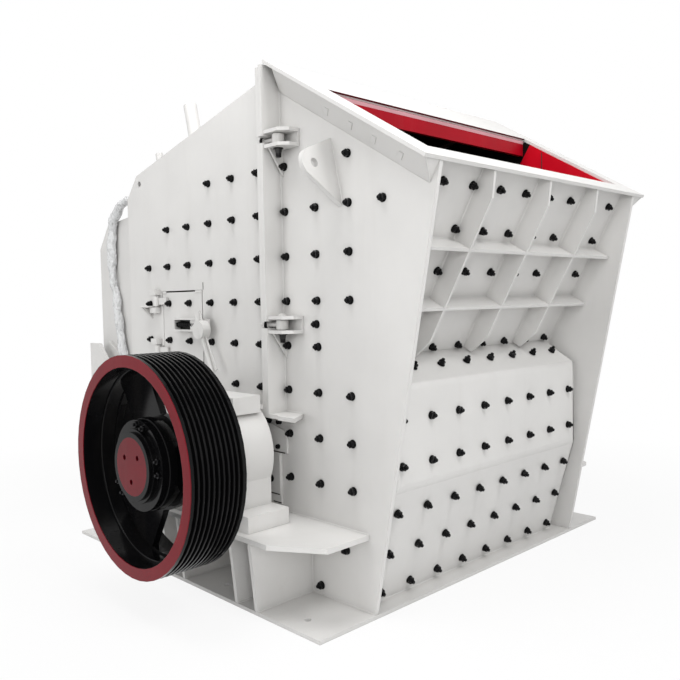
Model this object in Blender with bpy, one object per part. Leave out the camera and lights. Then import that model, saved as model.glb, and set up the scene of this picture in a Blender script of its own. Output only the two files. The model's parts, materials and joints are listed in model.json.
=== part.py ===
"""Impact crusher: a fixed plant machine that breaks rock with a spinning rotor.

X runs from the rear of the machine to the feed side, -Y is the drive side and Z is up.
Sizes are in metres. The outlines are drawn in the machine's own frame, where X = 0 is the
first bolt column of the side plates, Y = 0 is the middle plane and Z = 0 is the underside
of the base. An empty then moves the whole machine so that the origin is under the middle
of its bounding box.
"""
import math

import bmesh
import bpy
from mathutils import Matrix, Vector

# Fits between pieces
SEAT_GAP = 0.0003
SHAFT_FIT = 0.0006
DOOR_GAP = 0.010
WELD_DEPTH = 0.004
WALL_SETBACK = 0.004
CUTTER_REACH = 0.100

# Body
BODY_WIDTH = 2.08
SIDE_PLATE = 0.025
WALL_PLATE = 0.020
LINER = 0.030
REAR_X = -0.300
SPLIT_X = 1.500
SPLIT_Z = 1.054
REAR_CORNER_Z = 2.497
ROOF_REAR_X = -0.155
ROOF_REAR_Z = 2.659
ROOF_SPLIT_Z = 3.060
FRONT_FOOT_X = 2.226
SIDE_HEAD_INSET = 0.020

# Base
BASE_PLATE = 0.020
BASE_REAR_X = -0.396
BASE_FRONT_X = 2.234
BASE_REACH_DRIVE = 0.412
BASE_REACH_FREE = 0.371
DISCHARGE_REAR_X = -0.200
DISCHARGE_FRONT_X = 1.980
DISCHARGE_STRIP = 0.085
ANCHOR_HOLE = 0.038
ANCHOR_INSET = 0.126
ANCHOR_END_INSET = 0.230
ANCHORS_PER_SIDE = 4

# Feed mouth
MOUTH_SLOPE = math.radians(30.9)
MOUTH_BACK_X = 1.530
MOUTH_BACK_Z = 3.084
MOUTH_BACK_STRIP = 0.418
MOUTH_OPENING = 0.819
MOUTH_FRONT_STRIP = 0.139
MOUTH_SIDE_STRIP = 0.015
MOUTH_EDGE_INSET = 0.004
MOUTH_PLATE = 0.020
MOUTH_OVERHANG = 0.121
GUSSET_START = 0.086
GUSSET_DROP = 0.120
GUSSET_STRIP = 0.012
LIP_DEPTH = 0.125
LIP_PLATE = 0.030
LIP_FOLD = 0.012
LIP_BEND = 0.020

# Feed wall, its ribs and the belly below it
WALL_FOOT_X = 2.071
WALL_FOOT_Z = 1.391
WALL_HEAD_INSET = 0.078
RIB_DEPTH = 0.124
RIB_PLATE = 0.018
RIB_COUNT = 3
RIB_PITCH = 0.556
RIB_MIDDLE_Y = -0.021
RIB_HEAD_INSET = 0.006
RIB_HEAD_HEIGHT = 0.145
RIB_HEAD_LEAN = math.radians(7.4)
SHELF_COUNT = 2
SHELF_PITCH = 0.360
SHELF_SETBACK = 0.001
RIB_TOE = 0.055
RIB_HEEL = 0.012
RIB_TOE_RISE = 0.150
BELLY_FACE_X = 2.310
BELLY_TOP_Z = 1.245
BELLY_FOLD_Z = 0.690
BELLY_FOOT_X = 2.113
BELLY_END_GAP = 0.050
BELLY_ROUND = 0.035

# Split flanges and shelf
FLANGE_PLATE = 0.026
FLANGE_REACH = 0.135
SHELF_PLATE = 0.024
SHELF_KNEE_X = 1.610
SHELF_TIP_X = 1.779
SHELF_TIP_REACH = 0.156
SHELF_END_X = 1.676
UPRIGHT_INSET = 0.015

# Clamps
CLAMP_LOW_Z = 1.572
CLAMP_HIGH_Z = 2.634
EAR_PLATE = 0.020
EAR_SPACING = 0.062
EAR_LENGTH = 0.170
EAR_REACH = 0.125
EAR_TIP_CUT = 0.050
EAR_GUSSET_DROP = 0.150
EAR_GUSSET = 0.014
EAR_GUSSET_INSET = 0.010
EAR_GUSSET_EDGE = 0.020
EAR_BACK = 0.014
EYE_X = 1.588
EYE_REACH = 0.068
EYE_RADIUS = 0.036
SWING_ROD = 0.030
SWING_SLOT_PLAY = 0.010
SWING_PIN = 0.030
SWING_NUT = 0.054
SWING_NUT_LENGTH = 0.040
SWING_TAIL = 0.030
SWING_RING_PLAY = 0.004
PIN_RISE = 0.065
PIN_FALL = 0.105
PIN_HEAD = 0.024

# Lifting lugs
LUG_TOP_X = 1.938
LUG_TOP_Z = 2.585
LUG_FOOT_X = 2.020
LUG_FOOT_Z = 2.213
LUG_REACH = 0.241
LUG_NOSE = 0.085
LUG_NOSE_PLACE = 0.415
LUG_NOSE_START = math.radians(20)
LUG_NOSE_END = math.radians(130)
LUG_HOLE = 0.050
LUG_PLATE = 0.030

# Rotor, shaft and bearings
AXIS_X = 1.270
AXIS_Z = 0.832
ROTOR_RADIUS = 0.660
DRUM_RADIUS = 0.600
POCKET_FLOOR = 0.475
POCKET_TURN = math.radians(38.0)
LOBE_STEPS = 6
ROTOR_SIDE_GAP = 0.035
ROTOR_TURN = math.radians(20.0)
SHAFT_RADIUS = 0.130
SHAFT_SHOULDER = 0.010
JOURNAL_RADIUS = 0.110
DRIVE_SEAT_RADIUS = 0.090
DRIVE_SEAT_START = 0.060
FREE_END_INSET = 0.020
BLOW_BAR_COUNT = 4
BLOW_BAR_WIDTH = 0.090
BLOW_BAR_DEPTH = 0.260
SHAFT_HOLE = 0.160
SEAL_PLATE = 0.012
SEAL_BORE = 0.118
SEAL_HALF = 0.205
SEAL_SHOULDER = 0.265
SEAL_FOOT_Z = 0.485
SEAL_SHOULDER_Z = 0.800
SEAL_CORNER_Z = 0.915
SEAL_SIDE_Z = 0.940
SEAL_TOP_Z = 0.968
SEAL_CORNER = 0.030
SEAL_TOP_HALF = 0.120
SEAT_TOP_Z = 0.448
SEAT_PLATE = 0.028
SEAT_HALF = 0.920
SEAT_REACH = 0.480
SEAT_END_REACH = 0.305
SEAT_CUT = 0.280
GUSSET_PLATE = 0.025
GUSSET_INNER = 0.270
GUSSET_OUTER = 0.450
GUSSET_TOP_REACH = 0.452
GUSSET_FOOT_REACH = 0.410
BLOCK_HALF = 0.430
BLOCK_BASE = 0.092
BLOCK_NEAR = 0.146
BLOCK_FAR = 0.434
HOUSING_RADIUS = 0.320
HOUSING_FOOT_HALF = 0.288
HOUSING_SINK = 0.020
HOUSING_FAR_INSET = 0.030
HOUSING_NEAR_INSET = 0.010
CAP_HALF = 0.250
CAP_TOP = 0.338
CAP_DROP = 0.100
CAP_FAR_INSET = 0.050
CAP_NEAR_INSET = 0.045

# Drive pulley
PULLEY_RADIUS = 0.606
PULLEY_WIDTH = 0.335
PULLEY_OUTER = 0.900
RIM_THICKNESS = 0.066
GROOVE_COUNT = 10
GROOVE_PITCH = 0.0300
GROOVE_DEPTH = 0.022
GROOVE_TOP = 0.021
GROOVE_FLOOR = 0.010
WEB_PLATE = 0.040
WEB_BACK = 0.100
RIM_SIDES = 48
SPOKE_COUNT = 3
SPOKE_HALF_WIDTH = 0.150
WINDOW_INSET = 0.020
PULLEY_HUB_RADIUS = 0.250
HUB_FACE_INSET = 0.060
HUB_BACK_INSET = 0.020
BUSH_RADIUS = 0.205
BUSH_REACH = 0.010
HUB_DISC_RADIUS = 0.187
HUB_DISC_PLATE = 0.016
HUB_DISC_INSET = 0.018
HUB_DISC_HOLE = 0.030
HUB_DISC_HOLE_CIRCLE = 0.085
HUB_DISC_HOLE_TURNS = (40, 150, 265)

# Impact aprons and liners inside
LINER_EDGE = 0.030
LINER_INSET = 0.060
LINER_ROOF_DROP = 0.080
LINER_FRONT_Z = 1.330
LINER_STEP_Z = 1.400
APRON_PLATE = 0.060
APRON_SIDE_GAP = 0.006
APRON_PIVOT_RADIUS = 0.050
FRONT_APRON = ((0.950, 2.350), (0.800, 1.750), (0.950, 1.620))
REAR_APRON = ((0.100, 2.050), (0.150, 1.400), (0.480, 1.050))

# Roof details
TUBE_RADIUS = 0.048
TUBE_WALL = 0.008
TUBE_LENGTH = 0.370
TUBE_X = 0.360
TUBE_INSET = 0.210
TUBE_SINK = 0.015
TUBE_FLOOR = 0.060
ROD_X = -0.122
ROD_RADIUS = 0.030
ROD_LENGTH = 0.205
EYE_HOLE_X = -0.116
EYE_HOLE_Z = 2.595
EYE_HOLE = 0.044

# Rear hood and its hinge
HOOD_PLATE = 0.012
HOOD_INSET = 0.120
HOOD_REAR_X = -1.010
HOOD_FOOT_Z = 1.110
HOOD_CORNER_Z = 2.170
HOOD_TOP_Z = 2.360
HOOD_SHOULDER_X = -0.860
HOOD_ROOF_RISE = 0.060
HINGE_X = -0.840
HINGE_Z = 1.140
HINGE_PIN = 0.030
HINGE_PIN_REACH = 0.030
HINGE_PLATE = 0.030
HINGE_REAR_X = -0.960
HINGE_FRONT_X = -0.690
HINGE_FOOT_Z = 1.040
HINGE_SHOULDER_Z = 1.310
HINGE_CROWN_Z = 1.405
HINGE_CROWN_X = -0.860
ARM_REAR_X = -1.008
ARM_TOP_X = -0.850
ARM_TOP_Z = 1.390
ARM_SLOPE_X = -0.730
ARM_SLOPE_Z = 1.270
ARM_FRONT_X = -0.560
ARM_FOOT_Z = 0.930
ARM_ROOT_Z = 0.600

# Wrapped hoses on the side of the hood
HOSE_RADIUS = 0.036
HOSE_LINE = ((-0.440, 2.525), (-0.610, 2.455), (-0.712, 2.360), (-0.742, 2.010),
             (-0.664, 1.660), (-0.624, 1.380), (-0.590, 1.170))

# Inspection door
DOOR_LEFT_X = 0.155
DOOR_RIGHT_X = 0.675
DOOR_FOOT_Z = 1.300
DOOR_TOP_Z = 1.795
DOOR_HINGE_X = 0.120
DOOR_HINGE_REACH = 0.028
BARREL_RADIUS = 0.020
BARREL_LENGTH = 0.070
BARREL_INSET = 0.060
BARREL_EDGE = 0.010
STRAP_END = 0.090
STRAP_NEAR = 0.006
STRAP_FAR = 0.020
STRAP_EDGE = 0.004
STRAP_STEP = 0.002
HINGE_BLOCK_GAP = 0.030
HINGE_BLOCK_HALF = 0.020
HINGE_BLOCK_LENGTH = 0.060
HINGE_BLOCK_LIP = 0.018
DOOR_PIN = 0.008
DOOR_PIN_TAIL = 0.055
LATCH_Z = 1.560
LATCH_START_X = 0.390
HUB_X = 0.765
HUB_Z = 1.530
LATCH_HUB_RADIUS = 0.062
LATCH_HUB_DEPTH = 0.060
LATCH_PIN = 0.012
LATCH_HALF = 0.045
LATCH_PLATE = 0.012
LATCH_REACH = 0.055
LATCH_BACK = 0.008
TONGUE_START = 0.090
TONGUE_END = 0.030
TONGUE_FAR = 0.045
TONGUE_NEAR = 0.025
TONGUE_EDGE = 0.006
LATCH_PIN_SINK = 0.015
LEVER_LENGTH = 0.300
LEVER_LEAN = math.radians(-66.0)
LEVER_OUT = 0.040
LEVER_RADIUS = 0.016
TAB_FAR = 0.070
TAB_NEAR = 0.020
TAB_OUT = 0.018
TAB_PLATE = 0.016
TAB_FOOT = 0.020
TAB_LENGTH = 0.120

HALF = BODY_WIDTH / 2
INNER = HALF - SIDE_PLATE
FLOOR_Z = BASE_PLATE + SEAT_GAP
MOUTH_ALONG = Vector((math.cos(MOUTH_SLOPE), 0, -math.sin(MOUTH_SLOPE)))
MOUTH_OUT = Vector((math.sin(MOUTH_SLOPE), 0, math.cos(MOUTH_SLOPE)))
MOUTH_START = Vector((MOUTH_BACK_X, 0, MOUTH_BACK_Z))
MOUTH_OPEN_END = MOUTH_BACK_STRIP + MOUTH_OPENING
MOUTH_LENGTH = MOUTH_OPEN_END + MOUTH_FRONT_STRIP
WALL_HEAD = (MOUTH_START + MOUTH_ALONG * (MOUTH_LENGTH - WALL_HEAD_INSET)
             - MOUTH_OUT * (MOUTH_PLATE + SEAT_GAP))
WALL_LEAN = math.atan2(WALL_HEAD.x - WALL_FOOT_X, WALL_HEAD.z - WALL_FOOT_Z)
ROTOR_LENGTH = 2 * (INNER - LINER - ROTOR_SIDE_GAP)
DISCHARGE_HALF = INNER - DISCHARGE_STRIP
TUBE_Y = HALF - TUBE_INSET
PULLEY_FACE = HALF + PULLEY_OUTER


# Finishes

def finish(name, color, roughness, metallic):
    material = bpy.data.materials.new(name)
    material.use_nodes = True
    shader = material.node_tree.nodes["Principled BSDF"]
    shader.inputs["Base Color"].default_value = (*color, 1)
    shader.inputs["Roughness"].default_value = roughness
    shader.inputs["Metallic"].default_value = metallic
    return material


# Shapes

def blank(bm):
    """An unplaced object made from a closed bmesh."""
    bmesh.ops.recalc_face_normals(bm, faces=bm.faces)
    mesh = bpy.data.meshes.new("blank")
    bm.to_mesh(mesh)
    bm.free()
    part = bpy.data.objects.new("blank", mesh)
    bpy.context.scene.collection.objects.link(part)
    return part


def extruded(points, travel):
    """A flat outline of 3D points pushed along one vector."""
    bm = bmesh.new()
    face = bm.faces.new([bm.verts.new(point) for point in points])
    pushed = bmesh.ops.extrude_face_region(bm, geom=[face])["geom"]
    moved = [item for item in pushed if isinstance(item, bmesh.types.BMVert)]
    bmesh.ops.translate(bm, verts=moved, vec=travel)
    return bm


def plate_xz(outline, y_low, y_high):
    return extruded([(x, y_low, z) for x, z in outline], (0, y_high - y_low, 0))


def plate_xy(outline, z_low, z_high):
    return extruded([(x, y, z_low) for x, y in outline], (0, 0, z_high - z_low))


def box(x_low, x_high, y_low, y_high, z_low, z_high):
    corners = [(x_low, y_low), (x_high, y_low), (x_high, y_high), (x_low, y_high)]
    return plate_xy(corners, z_low, z_high)


def rod(start, end, radius, sides=24):
    """A round bar between two points."""
    start = Vector(start)
    travel = Vector(end) - start
    turn = travel.to_track_quat("Z", "Y").to_matrix().to_4x4()
    bm = bmesh.new()
    bmesh.ops.create_cone(
        bm, cap_ends=True, segments=sides, radius1=radius, radius2=radius,
        depth=travel.length, matrix=Matrix.Translation(start + travel / 2) @ turn)
    return bm


def turned(profile, sides, ring=False):
    """A profile of (radius, y) points spun about the Y axis."""
    bm = bmesh.new()
    points = [bm.verts.new((radius, y, 0)) for radius, y in profile]
    edges = [bm.edges.new(pair) for pair in zip(points, points[1:])]
    if ring:
        edges.append(bm.edges.new((points[-1], points[0])))
    bmesh.ops.spin(
        bm, geom=points + edges, cent=(0, 0, 0), axis=(0, 1, 0), angle=math.tau,
        steps=sides, use_merge=True)
    bmesh.ops.remove_doubles(bm, verts=bm.verts, dist=0.00001)
    return bm


def swept(path, radius, sides):
    """A round bundle along a line of points, closed at both ends."""
    bm = bmesh.new()
    rings = []
    for index, point in enumerate(path):
        before = Vector(path[max(index - 1, 0)])
        after = Vector(path[min(index + 1, len(path) - 1)])
        turn = (after - before).to_track_quat("Z", "Y").to_matrix()
        spokes = [turn @ Vector((radius * x, radius * y, 0)) for x, y in
                  arc((0, 0), 1, 0, math.tau, sides)[:-1]]
        rings.append([bm.verts.new(Vector(point) + spoke) for spoke in spokes])
    for low, high in zip(rings, rings[1:]):
        for index in range(sides):
            bm.faces.new((low[index - 1], low[index], high[index], high[index - 1]))
    bm.faces.new(rings[0])
    bm.faces.new(rings[-1])
    return bm


def arc(center, radius, start, end, steps):
    """Points on a circle from one angle to another, both ends included."""
    turn = (end - start) / steps
    return [(center[0] + radius * math.cos(start + turn * i),
             center[1] + radius * math.sin(start + turn * i)) for i in range(steps + 1)]


def folded(line, thickness):
    """The closed outline of a folded plate: a line of points and its parallel copy."""
    normals = []
    for (x0, z0), (x1, z1) in zip(line, line[1:]):
        length = math.hypot(x1 - x0, z1 - z0)
        normals.append(Vector(((z1 - z0) / length, (x0 - x1) / length)))
    inner = []
    for index, point in enumerate(line):
        before = normals[max(index - 1, 0)]
        after = normals[min(index, len(normals) - 1)]
        middle = (before + after).normalized()
        reach = thickness / middle.dot(before)
        inner.append(tuple(Vector(point) - middle * reach))
    return list(line) + inner[::-1]


def combine(part, others, operation):
    """Join or cut closed solids, and keep the result as one mesh."""
    for other in others:
        step = part.modifiers.new("step", "BOOLEAN")
        step.operation = operation
        step.solver = "EXACT"
        step.object = other
    bpy.context.view_layer.update()
    whole = part.evaluated_get(bpy.context.evaluated_depsgraph_get())
    mesh = bpy.data.meshes.new_from_object(whole)
    part.modifiers.clear()
    part.data = mesh
    for other in others:
        bpy.data.objects.remove(other)
    return part


def join(shapes):
    parts = [blank(bm) for bm in shapes]
    return combine(parts[0], parts[1:], "UNION")


def cut(part, shapes):
    return combine(part, [blank(bm) for bm in shapes], "DIFFERENCE")


def hang(name, part, material, parent, round_angle=None):
    """Name a finished piece, give it its material and hang it on its parent."""
    pivot = parent.get("pivot", (0, 0, 0))
    part.name = name
    part.data.name = name
    part.data.transform(Matrix.Translation(-Vector(pivot)))
    part.data.materials.clear()
    part.data.materials.append(material)
    if round_angle:
        part.data.shade_smooth()
        part.data.set_sharp_from_angle(angle=round_angle)
    part.parent = parent
    return part


def holder(name, pivot, parent=None):
    """An empty at a joint's axis, in the machine's frame."""
    empty = bpy.data.objects.new(name, None)
    bpy.context.scene.collection.objects.link(empty)
    empty["pivot"] = pivot
    origin = Vector(parent["pivot"]) if parent else Vector((0, 0, 0))
    empty.location = Vector(pivot) - origin
    empty.parent = parent
    return empty


def sided(shape, side):
    """A shape drawn for the drive side, flipped over for the free side."""
    if side > 0:
        bmesh.ops.transform(shape, matrix=Matrix.Scale(-1, 4, (0, 1, 0)), verts=shape.verts)
    return shape


# Heights and outlines that several pieces share

def mouth_point(along, below=0.0):
    """A point of the mouth's sloping plane, as (x, z)."""
    point = MOUTH_START + MOUTH_ALONG * along - MOUTH_OUT * below
    return point.x, point.z


def mouth_z(x, below=0.0):
    """Height of the mouth's plane over x, measured under it by a distance."""
    start_x, start_z = mouth_point(0, below)
    return start_z - (x - start_x) * math.tan(MOUTH_SLOPE)


def wall_x(z):
    """The feed wall's outer face."""
    return WALL_FOOT_X + (z - WALL_FOOT_Z) * math.tan(WALL_LEAN)


def wall_head(offset):
    """Where a line parallel to the feed wall's outer face meets the mouth flange from below."""
    x = WALL_FOOT_X + offset * math.cos(WALL_LEAN)
    z = WALL_FOOT_Z - offset * math.sin(WALL_LEAN)
    fall = math.tan(MOUTH_SLOPE)
    length = (mouth_z(x, MOUTH_PLATE + SEAT_GAP) - z) / (
        math.cos(WALL_LEAN) + math.sin(WALL_LEAN) * fall)
    return x + length * math.sin(WALL_LEAN), z + length * math.cos(WALL_LEAN)


def roof_z(x):
    return ROOF_REAR_Z + (x - ROOF_REAR_X) * (ROOF_SPLIT_Z - ROOF_REAR_Z) / (SPLIT_X - ROOF_REAR_X)


def front_outline():
    """Lower frame and feed side in one plate, with the arm of the rear hinge."""
    below = MOUTH_PLATE + SEAT_GAP
    split = SPLIT_X + SEAT_GAP
    tip = mouth_point(MOUTH_LENGTH - MOUTH_EDGE_INSET, below)
    back = mouth_point(SIDE_HEAD_INSET, below)
    return [(REAR_X, FLOOR_Z), (FRONT_FOOT_X, FLOOR_Z), tip, back, (split, back[1]),
            (split, SPLIT_Z), (ARM_FRONT_X, SPLIT_Z), (ARM_SLOPE_X, ARM_SLOPE_Z),
            (ARM_TOP_X, ARM_TOP_Z), (ARM_REAR_X, ARM_TOP_Z), (ARM_REAR_X, ARM_FOOT_Z),
            (REAR_X, ARM_ROOT_Z)]


def housing_outline():
    """The side of the rear housing, which sits on the lower frame."""
    foot = SPLIT_Z + SEAT_GAP
    return [(REAR_X, foot), (SPLIT_X, foot), (SPLIT_X, ROOF_SPLIT_Z),
            (ROOF_REAR_X, ROOF_REAR_Z), (REAR_X, REAR_CORNER_Z)]


# Frame

def build_base(machine, paint):
    low = -HALF - BASE_REACH_DRIVE
    high = HALF + BASE_REACH_FREE
    plate = blank(box(BASE_REAR_X, BASE_FRONT_X, low, high, 0, BASE_PLATE))
    opening = box(DISCHARGE_REAR_X, DISCHARGE_FRONT_X, -DISCHARGE_HALF, DISCHARGE_HALF,
                  -CUTTER_REACH, CUTTER_REACH)
    holes = []
    span = BASE_FRONT_X - BASE_REAR_X - 2 * ANCHOR_END_INSET
    for index in range(ANCHORS_PER_SIDE):
        x = BASE_REAR_X + ANCHOR_END_INSET + span * index / (ANCHORS_PER_SIDE - 1)
        for y in (low + ANCHOR_INSET, high - ANCHOR_INSET):
            holes.append(rod((x, y, -CUTTER_REACH), (x, y, CUTTER_REACH), ANCHOR_HOLE / 2, 16))
    hang("base_frame", cut(plate, [opening] + holes), paint, machine)


def bored(x, z, radius, sides=16):
    """A cutter for a round hole through a side wall and its liner."""
    return rod((x, -HALF - CUTTER_REACH, z), (x, -INNER + CUTTER_REACH, z), radius, sides)


def build_front_side(machine, paint, side, name):
    """Lower frame and feed side plate with its upright split flange and split shelf."""
    plate = plate_xz(front_outline(), -HALF, -INNER)
    top = mouth_point(SIDE_HEAD_INSET, MOUTH_PLATE + SEAT_GAP)[1]
    tip = -HALF - SHELF_TIP_REACH
    edge = -HALF - FLANGE_REACH
    root = -HALF + WELD_DEPTH
    upright = box(SPLIT_X + SEAT_GAP, SPLIT_X + FLANGE_PLATE, edge, root,
                  SPLIT_Z - WELD_DEPTH, top)
    knee = SHELF_TIP_REACH - FLANGE_REACH
    shelf = plate_xy([(REAR_X, root), (REAR_X, edge), (SHELF_KNEE_X, edge),
                      (SHELF_KNEE_X + knee, tip), (SHELF_TIP_X, tip), (SHELF_END_X, root)],
                     SPLIT_Z - SHELF_PLATE, SPLIT_Z)
    part = join([sided(shape, side) for shape in (plate, upright, shelf)])
    tools = [bored(AXIS_X, AXIS_Z, SHAFT_HOLE, 32), bored(HINGE_X, HINGE_Z, HINGE_PIN + SHAFT_FIT)]
    tools += clamp_slots()
    hang(name, cut(part, [sided(tool, side) for tool in tools]), paint, machine)


def build_belly(machine, paint):
    """Folded front panel: a rounded hollow bulge on a full width back frame."""
    back = WALL_FOOT_X - WALL_PLATE
    reach = INNER - BELLY_END_GAP
    face = [(WALL_FOOT_X, WALL_FOOT_Z - SEAT_GAP), (BELLY_FACE_X, BELLY_TOP_Z),
            (BELLY_FACE_X, BELLY_FOLD_Z), (BELLY_FOOT_X, FLOOR_Z)]
    bulge = plate_xz(face + [(back, FLOOR_Z), (back, WALL_FOOT_Z - SEAT_GAP)], -reach, reach)
    rounded = [edge for edge in bulge.edges
               if abs(edge.verts[0].co.y - edge.verts[1].co.y) < 0.001
               and min(vert.co.x for vert in edge.verts) > back + 0.001
               and max(vert.co.x for vert in edge.verts) > BELLY_FOOT_X + WELD_DEPTH
               and edge.verts[0].co.z + edge.verts[1].co.z > 2 * BASE_PLATE]
    bmesh.ops.bevel(bulge, geom=rounded, offset=BELLY_ROUND, offset_type="OFFSET", segments=3,
                    profile=0.5, affect="EDGES", material=-1)
    frame = box(back, back + WALL_PLATE, -INNER + SEAT_GAP, INNER - SEAT_GAP, FLOOR_Z,
                WALL_FOOT_Z - SEAT_GAP)
    hollow_line = folded(face[::-1], WALL_PLATE)[len(face):][::-1]
    top = hollow_line[-1]
    foot = hollow_line[0]
    low = foot[1] - CUTTER_REACH
    room = [(back - CUTTER_REACH, low), (foot[0], low)] + hollow_line
    room += [(back - CUTTER_REACH, top[1])]
    hollow = plate_xz(room, -reach + WALL_PLATE, reach - WALL_PLATE)
    hang("belly_panel", cut(join([bulge, frame]), [hollow]), paint, machine)


def build_feed_wall(machine, paint):
    """The sloping wall under the mouth, from the belly to the mouth flange."""
    back = WALL_PLATE / math.cos(WALL_LEAN)
    outline = [(WALL_FOOT_X, WALL_FOOT_Z), wall_head(0), wall_head(-WALL_PLATE),
               (WALL_FOOT_X - back, WALL_FOOT_Z)]
    hang("feed_wall", blank(plate_xz(outline, -INNER + SEAT_GAP, INNER - SEAT_GAP)), paint, machine)


def build_rib_grid(machine, paint):
    """Egg crate of upright ribs and cross shelves welded on the feed wall."""
    out = Vector((math.cos(WALL_LEAN), -math.sin(WALL_LEAN)))
    up = Vector((math.sin(WALL_LEAN), math.cos(WALL_LEAN)))
    foot = Vector((WALL_FOOT_X, WALL_FOOT_Z)) + out * SEAT_GAP
    below = MOUTH_PLATE + SEAT_GAP
    front = foot + out * RIB_DEPTH
    head_x, head_z = mouth_point(MOUTH_LENGTH - RIB_HEAD_INSET, below)
    neck_z = head_z - RIB_HEAD_HEIGHT
    neck_x = head_x - RIB_HEAD_HEIGHT * math.tan(RIB_HEAD_LEAN)
    kink = front + up * (neck_z - SHELF_SETBACK - front.y) / up.y
    root = Vector(wall_head(SEAT_GAP))
    heel = foot + up * RIB_HEEL
    toe_z = WALL_FOOT_Z - SEAT_GAP
    rise = (BELLY_FACE_X - WALL_FOOT_X) / (toe_z - BELLY_TOP_Z)
    toe = Vector((heel.x + RIB_TOE, toe_z - RIB_TOE / rise + RIB_HEEL))
    profile = [tuple(heel), tuple(toe), tuple(front + up * RIB_TOE_RISE), tuple(kink),
               (neck_x, neck_z), (head_x, head_z), tuple(root)]
    shapes = []
    for index in range(RIB_COUNT):
        y = RIB_MIDDLE_Y + RIB_PITCH * (index - (RIB_COUNT - 1) / 2)
        shapes.append(plate_xz(profile, y - RIB_PLATE / 2, y + RIB_PLATE / 2))
    for index in range(SHELF_COUNT):
        start = foot + up * SHELF_PITCH * (index + 1) + out * SHELF_SETBACK
        end = start + out * (RIB_DEPTH - 2 * SHELF_SETBACK)
        half = up * RIB_PLATE / 2
        outline = [tuple(start - half), tuple(end - half), tuple(end + half), tuple(start + half)]
        shapes.append(plate_xz(outline, -INNER + SEAT_GAP, INNER - SEAT_GAP))
    hang("feed_rib_grid", join(shapes), paint, machine)


def sloping(along_low, along_high, half, above, below):
    """A block on the mouth's plane, between two places along it and two heights."""
    start = MOUTH_START + MOUTH_ALONG * along_low + MOUTH_OUT * above - Vector((0, half, 0))
    across = Vector((0, 2 * half, 0))
    along = MOUTH_ALONG * (along_high - along_low)
    outline = [start, start + along, start + along + across, start + across]
    return extruded(outline, -MOUTH_OUT * (above + below))


def build_mouth(machine, paint):
    """Sloping frame round the feed opening."""
    plate = blank(sloping(0, MOUTH_LENGTH, HALF + MOUTH_OVERHANG, 0, MOUTH_PLATE))
    opening = sloping(MOUTH_BACK_STRIP, MOUTH_OPEN_END, INNER - MOUTH_SIDE_STRIP, CUTTER_REACH,
                      CUTTER_REACH)
    hang("mouth_flange", cut(plate, [opening]), paint, machine)


def build_mouth_gusset(machine, paint, side, name):
    """Slanting strip that closes the corner between the mouth flange and the side plate."""
    below = MOUTH_PLATE + SEAT_GAP
    start_x, start_z = mouth_point(GUSSET_START, below)
    end_x, end_z = mouth_point(MOUTH_LENGTH - MOUTH_EDGE_INSET, below)
    outer = -HALF - MOUTH_OVERHANG + GUSSET_STRIP
    wall = -HALF - SEAT_GAP
    corner = Vector((start_x, outer, start_z))
    foot = Vector((start_x, wall, start_z)) - MOUTH_OUT * GUSSET_DROP
    outline = [corner, corner + Vector((0, GUSSET_STRIP, 0)), foot + MOUTH_OUT * GUSSET_STRIP, foot]
    strip = extruded(outline, (end_x - start_x, 0, end_z - start_z))
    hang(name, blank(sided(strip, side)), paint, machine)


def build_lip(machine, red):
    """Liner on the back of the feed opening, folded over its edge."""
    below = MOUTH_PLATE + SEAT_GAP
    start_x, start_z = mouth_point(MOUTH_BACK_STRIP - LIP_PLATE, below)
    end_z = start_z - LIP_DEPTH
    fold_x, fold_z = mouth_point(MOUTH_BACK_STRIP + LIP_FOLD, below)
    face = start_x + LIP_PLATE
    outline = [(start_x, start_z), (start_x, end_z), (face, end_z), (face, fold_z - LIP_BEND),
               (fold_x, fold_z)]
    reach = INNER - SEAT_GAP * 2 - LINER
    hang("mouth_lip", blank(plate_xz(outline, -reach, reach)), red, machine)


# Rear housing

def build_housing_side(machine, paint, side, name):
    """Side of the rear housing with its upright and bottom split flanges."""
    plate = plate_xz(housing_outline(), -HALF, -INNER)
    edge = -HALF - FLANGE_REACH
    root = -HALF + WELD_DEPTH
    foot = SPLIT_Z + SEAT_GAP
    upright = box(SPLIT_X - FLANGE_PLATE, SPLIT_X, edge, root, foot, ROOF_SPLIT_Z - UPRIGHT_INSET)
    bottom = box(REAR_X, SPLIT_X, edge, root, foot, foot + SHELF_PLATE)
    part = join([sided(shape, side) for shape in (plate, upright, bottom)])
    tools = [bored(EYE_HOLE_X, EYE_HOLE_Z, EYE_HOLE / 2)] + clamp_slots()
    if side < 0:
        tools.append(door_cutter())
    hang(name, cut(part, [sided(tool, side) for tool in tools]), paint, machine)


def door_cutter():
    """A cutter for the door opening, through the side wall and its liner."""
    return box(DOOR_LEFT_X, DOOR_RIGHT_X, -HALF - CUTTER_REACH, -INNER + CUTTER_REACH,
               DOOR_FOOT_Z, DOOR_TOP_Z)


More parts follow.
